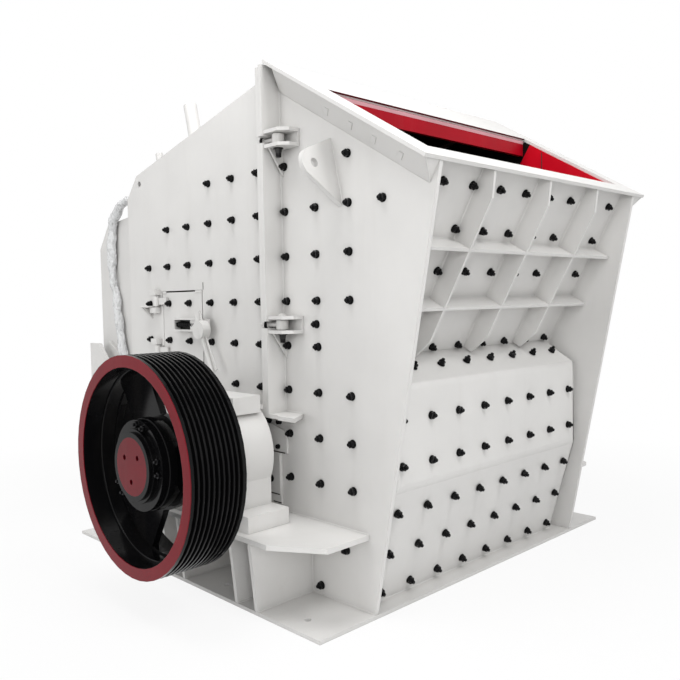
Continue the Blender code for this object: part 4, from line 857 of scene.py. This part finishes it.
def feed_weld_lines():
    """Welds of the feed wall, its ribs and shelves, and the belly panel."""
    foot = Vector((WALL_FOOT[0], 0, WALL_FOOT[1]))
    rise = (WALL_HIGH.z - WALL_FOOT[1]) / WALL_UP.z - 0.02
    lines = []

    def on_wall(up, y):
        point = foot + WALL_UP * up
        return point.x, y, point.z

    for side in (-1, 1):
        y = side * INNER
        lines.append((on_wall(0, y), on_wall(rise, y)))
        lines.append(((WALL_FOOT[0], y, BASE_HIGH.z), (WALL_FOOT[0], y, WALL_FOOT[1])))
        for place in RIB_PLACES:
            y = place + side * RIB_PLATE / 2
            lines.append((on_wall(0.06, y), on_wall(rise, y)))
        for index in (1, 2):
            up = SHELF_PITCH * index + side * RIB_PLATE / 2
            lines.append((on_wall(up, -INNER), on_wall(up, INNER)))
    lines.append((on_wall(rise + 0.015, -INNER), on_wall(rise + 0.015, INNER)))
    lines.append(((BELLY_FOOT[0], -INNER + 0.06, BASE_HIGH.z), (BELLY_FOOT[0], INNER - 0.06, BASE_HIGH.z)))
    return lines


class CRUSHER_OT_welds(bpy.types.Operator):
    """Lay the weld beads along the joints of the plates"""
    bl_idname = "crusher.welds"
    bl_label = "Weld beads"

    def execute(self, context):
        size = context.scene.crusher_welds
        beads("side_welds_drive", side_weld_lines(-1), size)
        beads("side_welds_free", side_weld_lines(1), size)
        beads("feed_welds", feed_weld_lines(), size)
        hood = [((REAR_X, side * -HOOD_LOW.y, HOOD_LOW.z), (REAR_X, side * -HOOD_LOW.y, HOOD_HIGH.z))
                for side in (-1, 1)]
        beads("hood_welds", hood, size)
        return {"FINISHED"}


# Turned steps of the pulley: (inner radius, outer radius) and (start, end) behind its face
RIM_THICKNESS = 0.066
RIM_STEP = 0.012
RIM_SUNK = 0.002
RIM_STEP_SPAN = (0.110, 0.196)
HUB_RING = (0.246, 0.256)
HUB_RING_SPAN = (0.100, 0.150)
STEP_EDGE = 0.004
PULLEY_SIDES = 96
# Bush screws, in pairs at these turns in degrees round the shaft
SCREW_TURNS = (78, 219, 5)
SCREW_SPREAD = 9
SCREW_CIRCLE = 0.228
SCREW_INSET = 0.060
SCREW_SCALE = 0.85


class CRUSHER_OT_pulley(bpy.types.Operator):
    """Dress the belt pulley with its rim step, hub ring and bush screws"""
    bl_idname = "crusher.pulley"
    bl_label = "Belt pulley"

    def execute(self, context):
        skin("drive_pulley", "pulley_enamel", "rotor", math.radians(28))
        skin("hub_disc", "disc_crimson", "rotor")
        skin("rotor_shaft", "cast_steel", "rotor")
        face = PULLEY_LOW.y
        rim = (PULLEY_HIGH.x - PULLEY_LOW.x) / 2 - RIM_THICKNESS
        center = (AXIS.x, 0, AXIS.z)
        bm = bmesh.new()
        inner, outer = rim - RIM_STEP, rim + RIM_SUNK
        start, end = (face + depth for depth in RIM_STEP_SPAN)
        spun(bm, [(inner, start + STEP_EDGE), (inner + STEP_EDGE, start), (outer, start), (outer, end),
                  (inner, end)], center, PULLEY_SIDES)
        inner, outer = HUB_RING
        start, end = (face + depth for depth in HUB_RING_SPAN)
        spun(bm, [(inner, start), (outer - STEP_EDGE, start), (outer, start + STEP_EDGE), (outer, end),
                  (inner, end)], center, PULLEY_SIDES)
        settle("pulley_steps", bm, "gloss_black_paint", "rotor", math.radians(30))
        size = context.scene.crusher_bolts
        screws = []
        for middle in SCREW_TURNS:
            for turn in (middle - SCREW_SPREAD, middle + SCREW_SPREAD):
                x = AXIS.x + SCREW_CIRCLE * math.cos(math.radians(turn))
                z = AXIS.z + SCREW_CIRCLE * math.sin(math.radians(turn))
                screws.append(((x, face + SCREW_INSET, z), (0, -1, 0)))
        bolts("bush_screws", screws, size, "rotor", 9, SCREW_SCALE)
        return {"FINISHED"}


# Radius and steps of the belly's folds, and how a point of a fold is told from others
FOLD_RADIUS = 0.030
FOLD_STEPS = 5
FOLD_NEAR = 0.002
FOLD_END = 0.040


def on_belly_fold(point):
    """Whether a point is an outer corner of the folded front panel."""
    if abs(point.y) >= INNER - FOLD_END:
        return False
    return any(abs(point.x - x) < FOLD_NEAR and abs(point.z - z) < FOLD_NEAR
               for x, z in (BELLY_TOP, BELLY_FOLD))


class CRUSHER_OT_castings(bpy.types.Operator):
    """Smooth the castings and the roof, round the belly's folds and taper the swing bolts"""
    bl_idname = "crusher.castings"
    bl_label = "Round plates and castings"

    def execute(self, context):
        for name in ("bearing_block_drive", "bearing_block_free", "hinge_lug_drive", "hinge_lug_free",
                     "door_hinge_1", "door_hinge_2", "lifting_lug_drive", "lifting_lug_free"):
            skin(name, "grey_white_paint")
        bm = merged_copy("belly_panel")
        folds = [edge for edge in bm.edges if all(on_belly_fold(vert.co - ORIGIN) for vert in edge.verts)]
        bmesh.ops.bevel(bm, geom=folds, offset=FOLD_RADIUS, offset_type="OFFSET", segments=FOLD_STEPS,
                        profile=0.5, affect="EDGES", material=-1)
        panel = settle("belly_panel_skin", bm, "grey_white_paint", BODY, math.radians(30))
        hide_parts("belly_panel")
        skin("housing_shell", "shell_paint")
        skin("latch_lever", "grey_white_paint", "latch")
        for level in ("high", "low"):
            for word, side in SIDES:
                name = "swing_bolt_%s_%s" % (level, word)
                bm = merged_copy(name)
                tip = corners(name)[0].z + SWING_TIP
                axis = here(EYE_X, side * (HALF + EYE_REACH), 0)
                for vert in bm.verts:
                    if vert.co.z - ORIGIN.z < tip:
                        vert.co.x = axis.x + (vert.co.x - axis.x) * SWING_TIP_SHARE
                        vert.co.y = axis.y + (vert.co.y - axis.y) * SWING_TIP_SHARE
                bolt = settle(name + "_skin", bm, "swing_bolt_paint", BODY, math.radians(30))
                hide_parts(name)
        return {"FINISHED"}


def clamp_height(level):
    """Middle height of a pair of ears."""
    return corners("clamp_ears_%s_drive" % level)[1].z - CLAMP_HALF


class CRUSHER_OT_clamps(bpy.types.Operator):
    """Add the washers, spacers and pin heads of the clamps"""
    bl_idname = "crusher.clamps"
    bl_label = "Clamps"

    def execute(self, context):
        for word, side in SIDES:
            light = bmesh.new()
            dark = bmesh.new()
            for level in ("low", "high"):
                z = clamp_height(level)
                y = side * (HALF + EYE_REACH)
                nut = SPLIT_X - FLANGE_PLATE - 0.004
                rod(dark, (nut + 0.003, y, z), (nut - 0.008, y, z), 0.037, 24)
                rod(light, (nut - 0.008, y, z), (nut - 0.016, y, z), 0.034, 24)
                rod(light, (nut - 0.0405, y, z), (nut - 0.052, y, z), 0.023, 20, 0.019)
                rod(light, (EYE_X, y, z + CLAMP_HALF), (EYE_X, y, z + CLAMP_HALF + 0.008), 0.026, 24)
                if level == "low":
                    rod(light, (EYE_X, y, z - 0.030), (EYE_X, y, z - 0.018), 0.027, 20)
                rod(dark, (EYE_X, y, z - CLAMP_HALF), (EYE_X, y, z - CLAMP_HALF - 0.006), 0.029, 24)
                for turn in range(4):
                    low = z - 0.083 - turn * 0.0055
                    rod(dark, (EYE_X, y, low), (EYE_X, y, low - 0.003), 0.0165, 16)
            settle("clamp_fittings_" + word, light, "grey_white_paint", BODY, math.radians(30))
            settle("clamp_washers_" + word, dark, "gloss_black_paint", BODY, math.radians(30))
        return {"FINISHED"}


LINER_SEAM_X = 2.037
LINER_SEAM_Z = (2.36, 2.745)
LINER_SEAM_HALF = 0.003
LINER_SEAM_DEPTH = 0.001
# Small gussets under the mouth: places along the slope, and an outline of (shift, depth)
PATCH_PLACES = (0.556, 0.763, 0.957, 1.163)
PATCH_OUTLINE = ((-0.034, 0.088), (0.012, 0.088), (0.042, 0.046), (0.010, 0.046))
PATCH_PLATE = 0.004
END_PLATE = 0.006


class CRUSHER_OT_mouth(bpy.types.Operator):
    """Add the painted edge, the liner seams and the small gussets of the feed mouth"""
    bl_idname = "crusher.mouth"
    bl_label = "Feed mouth"

    def execute(self, context):
        reach = INNER - 0.020
        bm = bmesh.new()
        along = MOUTH_BACK_STRIP
        prism(bm, [on_mouth(along, -reach, 0.001), on_mouth(along + 0.0015, -reach, 0.001),
                   on_mouth(along + 0.0015, -reach, 0.010), on_mouth(along, -reach, 0.010)],
              (0, 2 * reach, 0))
        settle("mouth_edge_paint", bm, "edge_crimson")
        bm = bmesh.new()
        for side in (-1, 1):
            y = side * LINER_FACE
            near, far = sorted((y, y - side * LINER_SEAM_DEPTH))
            block(bm, (LINER_SEAM_X - LINER_SEAM_HALF, near, LINER_SEAM_Z[0]),
                  (LINER_SEAM_X + LINER_SEAM_HALF, far, LINER_SEAM_Z[1]))
        settle("liner_seams", bm, "cast_steel")
        bm = bmesh.new()
        for side in (-1, 1):
            corner = side * (HALF + MOUTH_OVERHANG - CORNER_STRIP)
            wall = side * HALF
            down = Vector((0, (wall - corner) / CORNER_DROP, 0))
            out = Vector((0, side * CORNER_DROP, 0)) - MOUTH_OUT * abs(corner - wall)
            out.normalize()
            for place in PATCH_PLACES:
                outline = []
                for shift, depth in PATCH_OUTLINE:
                    outline.append(on_mouth(place + shift, corner, MOUTH_PLATE + depth) + down * depth)
                prism(bm, outline, out * PATCH_PLATE)
            end = MOUTH_LENGTH - 0.012
            prism(bm, [on_mouth(end, corner, MOUTH_PLATE + 0.001), on_mouth(end, wall, MOUTH_PLATE + 0.001),
                       on_mouth(end, wall, MOUTH_PLATE + CORNER_DROP)], MOUTH_ALONG * END_PLATE)
        settle("mouth_gussets", bm, "grey_white_paint")
        return {"FINISHED"}


DOOR_STRIP = 0.0045
BRACKET_Z = 1.681
SPRING_COILS = 11
# Bars of the latch lever: start, end, half width and direction from its hub
LEVER_BARS = ((0.055, 0.298, 0.017, (0.487, -0.873)), (0.050, 0.128, 0.026, (-0.342, 0.940)))


class CRUSHER_OT_door(bpy.types.Operator):
    """Add the door's strips and slot, the hinge bracket, the latch spring and the lever's bars"""
    bl_idname = "crusher.door"
    bl_label = "Inspection door"

    def execute(self, context):
        wall = -HALF
        bm = bmesh.new()
        block(bm, (0.148, wall - DOOR_STRIP, 1.405), (0.176, wall - FIT, 1.690), 0.001)
        block(bm, (0.172, wall - DOOR_STRIP, 1.777), (0.222, wall - FIT, 1.793), 0.001)
        block(bm, (0.592, wall - DOOR_STRIP, 1.777), (0.672, wall - FIT, 1.793), 0.001)
        settle("door_strips", bm, "grey_white_paint", "door")
        bm = bmesh.new()
        block(bm, (-0.040, wall - 0.075, BRACKET_Z), (0.088, wall, BRACKET_Z + 0.011), 0.0015)
        for x, reach, drop in ((0.012, 0.070, 0.085), (-0.034, 0.060, 0.060)):
            prism(bm, [(x, wall, BRACKET_Z), (x, wall - reach, BRACKET_Z), (x, wall, BRACKET_Z - drop)],
                  (0.010, 0, 0))
        settle("door_hinge_bracket", bm, "grey_white_paint")
        bm = bmesh.new()
        z = (LATCH_LOW.z + LATCH_HIGH.z) / 2
        y = wall - 0.030
        start = LATCH_LOW.x + 0.016
        end = LATCH_HUB.x - 0.080
        rod(bm, (start, y, z), (end, y, z), 0.012, 12)
        for index in range(SPRING_COILS):
            x = start + (end - start) * (index + 0.5) / SPRING_COILS
            rod(bm, (x - 0.0045, y, z), (x + 0.0045, y, z), 0.0195, 16)
        block(bm, (start, wall - 0.0105, z - 0.0325), (end + 0.005, wall - 0.0095, z + 0.0325))
        settle("latch_spring", bm, "gloss_black_paint", "door", math.radians(30))
        bm = bmesh.new()
        block(bm, (0.681, wall - 0.0010, 1.797), (0.688, wall, 1.845))
        settle("door_slot", bm, "cast_steel")
        bm = bmesh.new()
        face = corners("latch_lever")[0].y
        for start, end, half, (x, z) in LEVER_BARS:
            outline = []
            for along, across in ((start, -half), (end, -half * 0.8), (end, half * 0.8), (start, half)):
                outline.append((LATCH_HUB.x + x * along - z * across, face + 0.030,
                                LATCH_HUB.z + z * along + x * across))
            prism(bm, outline, (0, 0.010, 0))
        settle("lever_plates", bm, "grey_white_paint", "latch")
        return {"FINISHED"}


# Seams of a seal plate, as (height, near end, far end) from the shaft
SEAL_SEAMS = ((0.803, 0.080, 0.250), (0.543, 0.080, 0.190), (0.494, 0.130, 0.205))
SEAL_FACE = 0.0123


class CRUSHER_OT_seals(bpy.types.Operator):
    """Add the seams and the fold of the shaft seal plates"""
    bl_idname = "crusher.seals"
    bl_label = "Shaft seals"

    def execute(self, context):
        for word, side in SIDES:
            dark = bmesh.new()
            light = bmesh.new()
            face = side * (HALF + SEAL_FACE)
            for z, inner, outer in SEAL_SEAMS:
                for end in (-1, 1):
                    x = sorted((AXIS.x + end * inner, AXIS.x + end * outer))
                    y = sorted((face, face + side * 0.0015))
                    block(dark, (x[0], y[0], z - 0.0035), (x[1], y[1], z + 0.0035))
            for end in (-1, 1):
                x = sorted((AXIS.x + end * 0.188, AXIS.x + end * 0.206))
                y = sorted((face, face + side * 0.007))
                block(light, (x[0], y[0], 0.548), (x[1], y[1], 0.795), 0.002)
            settle("seal_seams_" + word, dark, "cast_steel")
            settle("seal_folds_" + word, light, "grey_white_paint")
        return {"FINISHED"}


# Middle of the wrapped hoses down the side of the hood, as (x, z, half width)
HOSE_ROUTE = ((-0.438, 2.526, 0.030), (-0.500, 2.508, 0.036), (-0.605, 2.462, 0.041),
              (-0.700, 2.372, 0.047), (-0.727, 2.247, 0.052), (-0.733, 2.134, 0.045),
              (-0.744, 2.012, 0.034), (-0.722, 1.887, 0.031), (-0.692, 1.783, 0.031),
              (-0.668, 1.679, 0.034), (-0.652, 1.576, 0.036), (-0.638, 1.474, 0.038),
              (-0.616, 1.371, 0.043), (-0.600, 1.280, 0.043), (-0.591, 1.172, 0.038))


def hose_point(share):
    """Place, direction and half width of the bundle at a share of its route."""
    place = share * (len(HOSE_ROUTE) - 1)
    index = min(int(place), len(HOSE_ROUTE) - 2)
    step = place - index
    picks = [Vector(HOSE_ROUTE[max(0, min(index + shift, len(HOSE_ROUTE) - 1))]) for shift in (-1, 0, 1, 2)]
    before, start, end, after = picks
    leave = (end - before) / 2
    arrive = (after - start) / 2
    square = step * step
    cube = square * step
    point = (start * (2 * cube - 3 * square + 1) + leave * (cube - 2 * square + step)
             + end * (3 * square - 2 * cube) + arrive * (cube - square))
    heading = (start * (6 * square - 6 * step) + leave * (3 * square - 4 * step + 1)
               + end * (6 * step - 6 * square) + arrive * (3 * square - 2 * step))
    return point, Vector((heading.x, heading.y)).normalized()


class CRUSHER_OT_hoses(bpy.types.Operator):
    """Wrap the hoses on the side of the hood in crumpled film"""
    bl_idname = "crusher.hoses"
    bl_label = "Wrapped hoses"

    def execute(self, context):
        film = context.scene.crusher_film
        hose_low, hose_high = corners("wrapped_hoses")
        middle = (hose_low.y + hose_high.y) / 2
        thick = (hose_high.y - hose_low.y) / 2
        bm = bmesh.new()

        def shape(share, angle):
            (x, z, wide), (head_x, head_z) = hose_point(share)
            across = Vector((head_z, 0, -head_x))
            ring = across * math.cos(angle) * wide + Vector((0, math.sin(angle) * thick, 0))
            spot = Vector((x, middle, z)) + ring
            large = noise.noise(Vector((spot.x, spot.y, spot.z * 0.6)) / film.fold)
            crease = abs(noise.noise(Vector((spot.x, spot.y, spot.z * 0.5)) / (film.fold * 0.32)))
            push = film.depth * (large - 1.5 * max(0.0, 0.22 - crease) - 0.25)
            spot += ring.normalized() * push
            spot.y = min(spot.y, hose_high.y)
            spot.z = min(max(spot.z, hose_low.z), hose_high.z)
            return here(*spot)

        tube(bm, film.sides, film.rings, shape)
        wrap = settle("film_wrap", bm, "clear_film", BODY, math.radians(60))
        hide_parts("wrapped_hoses")
        return {"FINISHED"}


# Soft lamps, as (name, place, size, power), and what they point at
LAMPS = (("top", (1.6, -2.4, 7.0), 3.0, 175.0),
         ("side_fill", (-0.5, -9.0, 3.2), 5.0, 148.0),
         ("feed_fill", (8.0, -6.0, 3.6), 4.0, 188.0),
         ("front_top", (6.5, -1.0, 7.0), 3.0, 225.0),
         ("rear_fill", (-6.0, 6.0, 5.0), 6.0, 120.0))
LAMP_AIM = (1.0, 0, 1.3)
STUDIO_LIGHT = 0.50
FLOOR_HALF = 60
FLOOR_GRAY = 0.80
# How far from the middle the floor turns from shaded to white, and its white near the middle
SHADOW_RANGE = (2.5, 5.0)
SHADOW_WHITE = 0.88


class CRUSHER_OT_stage(bpy.types.Operator):
    """Set up the floor, the lights, the world and the camera"""
    bl_idname = "crusher.stage"
    bl_label = "Stage"

    def execute(self, context):
        scene = context.scene
        bm = bmesh.new()
        bmesh.ops.create_grid(bm, x_segments=1, y_segments=1, size=FLOOR_HALF,
                              matrix=Matrix.Translation((0, 0, BASE_LOW.z + ORIGIN.z)))
        mesh = bpy.data.meshes.new("floor")
        bm.to_mesh(mesh)
        bm.free()
        floor = link("floor", mesh)
        mesh.materials.append(build_floor())
        center = here(*LAMP_AIM)
        for name, place, size, power in LAMPS:
            lamp = bpy.data.lights.new(name, "AREA")
            lamp.shape = "DISK"
            lamp.size = size
            lamp.energy = power
            item = link(name, lamp)
            item.location = here(*place)
            item.rotation_mode = "QUATERNION"
            item.rotation_quaternion = (center - item.location).to_track_quat("-Z", "Y")
        scene.world = build_world()
        scene.view_settings.view_transform = "Standard"
        scene.camera = build_camera()
        return {"FINISHED"}


def white_to_view(tree, lit, white, output, share):
    """Show a share of white to the camera and in reflections, and light all else evenly."""
    path = add(tree, "LightPath").outputs
    seen = maths(tree, "MAXIMUM", path["Is Camera Ray"], path["Is Glossy Ray"])
    seen = maths(tree, "MAXIMUM", seen, path["Is Transmission Ray"])
    mix = add(tree, "MixShader")
    put(tree, mix.inputs[0], maths(tree, "MULTIPLY", seen, share))
    put(tree, mix.inputs[1], lit.outputs[0])
    put(tree, mix.inputs[2], white.outputs[0])
    put(tree, tree.nodes[output].inputs["Surface"], mix.outputs[0])


def build_floor():
    """A pale floor, seen white away from the object, with the object's shadow kept round it."""
    made, tree, shader = material("floor_white")
    shader.inputs["Base Color"].default_value = (FLOOR_GRAY, FLOOR_GRAY, FLOOR_GRAY, 1)
    shader.inputs["Roughness"].default_value = 0.9
    glow = add(tree, "Emission", Color=(1, 1, 1, 1))
    far = vectors(tree, "LENGTH", object_place(tree))["Value"]
    share = ramp(tree, far, SHADOW_WHITE, 1.0, *SHADOW_RANGE)
    white_to_view(tree, shader, glow, "Material Output", share)
    return made


def build_world():
    """Even studio light, seen as white by the camera and in reflections."""
    world = bpy.data.worlds.new("studio")
    world.use_nodes = True
    tree = world.node_tree
    soft = tree.nodes["Background"]
    soft.inputs["Color"].default_value = (1.0, 1.0, 1.0, 1)
    soft.inputs["Strength"].default_value = STUDIO_LIGHT
    white = add(tree, "Background", Color=(1, 1, 1, 1), Strength=1.0)
    white_to_view(tree, soft, white, "World Output", 1.0)
    return world


def build_camera():
    """The photograph's view: turn, fall and roll of a level camera at eye height."""
    ahead = Vector((-math.sin(CAMERA_TURN) * math.cos(CAMERA_FALL),
                    math.cos(CAMERA_TURN) * math.cos(CAMERA_FALL), -math.sin(CAMERA_FALL)))
    right = Vector((math.cos(CAMERA_TURN), math.sin(CAMERA_TURN), 0))
    down = ahead.cross(right)
    level = right * math.cos(CAMERA_ROLL) + down * math.sin(CAMERA_ROLL)
    up = right * math.sin(CAMERA_ROLL) - down * math.cos(CAMERA_ROLL)
    camera = bpy.data.cameras.new("camera")
    camera.sensor_width = 36.0
    camera.lens = CAMERA_LENS
    item = link("camera", camera)
    turn = Matrix((level, up, -ahead)).transposed().to_4x4()
    item.matrix_world = Matrix.Translation(here(*CAMERA_AT)) @ turn
    return item


class CRUSHER_PT_panel(bpy.types.Panel):
    """Sidebar list of the crusher's pieces"""
    bl_idname = "CRUSHER_PT_panel"
    bl_label = "Crusher"
    bl_space_type = "VIEW_3D"
    bl_region_type = "UI"
    bl_category = "Crusher"

    def draw(self, context):
        for step in STEPS:
            self.layout.operator(step.bl_idname)
        for name in SETTINGS:
            settings = getattr(context.scene, name)
            box = self.layout.box()
            for key in settings.__annotations__:
                box.prop(settings, key)


STEPS = (CRUSHER_OT_finishes, CRUSHER_OT_side_bolts, CRUSHER_OT_feed_bolts, CRUSHER_OT_welds,
         CRUSHER_OT_pulley, CRUSHER_OT_castings, CRUSHER_OT_clamps, CRUSHER_OT_mouth,
         CRUSHER_OT_door, CRUSHER_OT_seals, CRUSHER_OT_hoses, CRUSHER_OT_stage)
SETTINGS = {"crusher_finish": CrusherFinishSettings, "crusher_bolts": CrusherBoltSettings,
            "crusher_welds": CrusherWeldSettings, "crusher_film": CrusherFilmSettings}


def register():
    for item in (*SETTINGS.values(), *STEPS, CRUSHER_PT_panel):
        bpy.utils.register_class(item)
    for name, settings in SETTINGS.items():
        setattr(bpy.types.Scene, name, bpy.props.PointerProperty(type=settings))


def unregister():
    for name in SETTINGS:
        delattr(bpy.types.Scene, name)
    for item in (CRUSHER_PT_panel, *reversed(STEPS), *SETTINGS.values()):
        bpy.utils.unregister_class(item)


def main():
    register()
    for step in STEPS:
        getattr(bpy.ops.crusher, step.bl_idname.split(".")[1])()


if __name__ == "__main__":
    main()
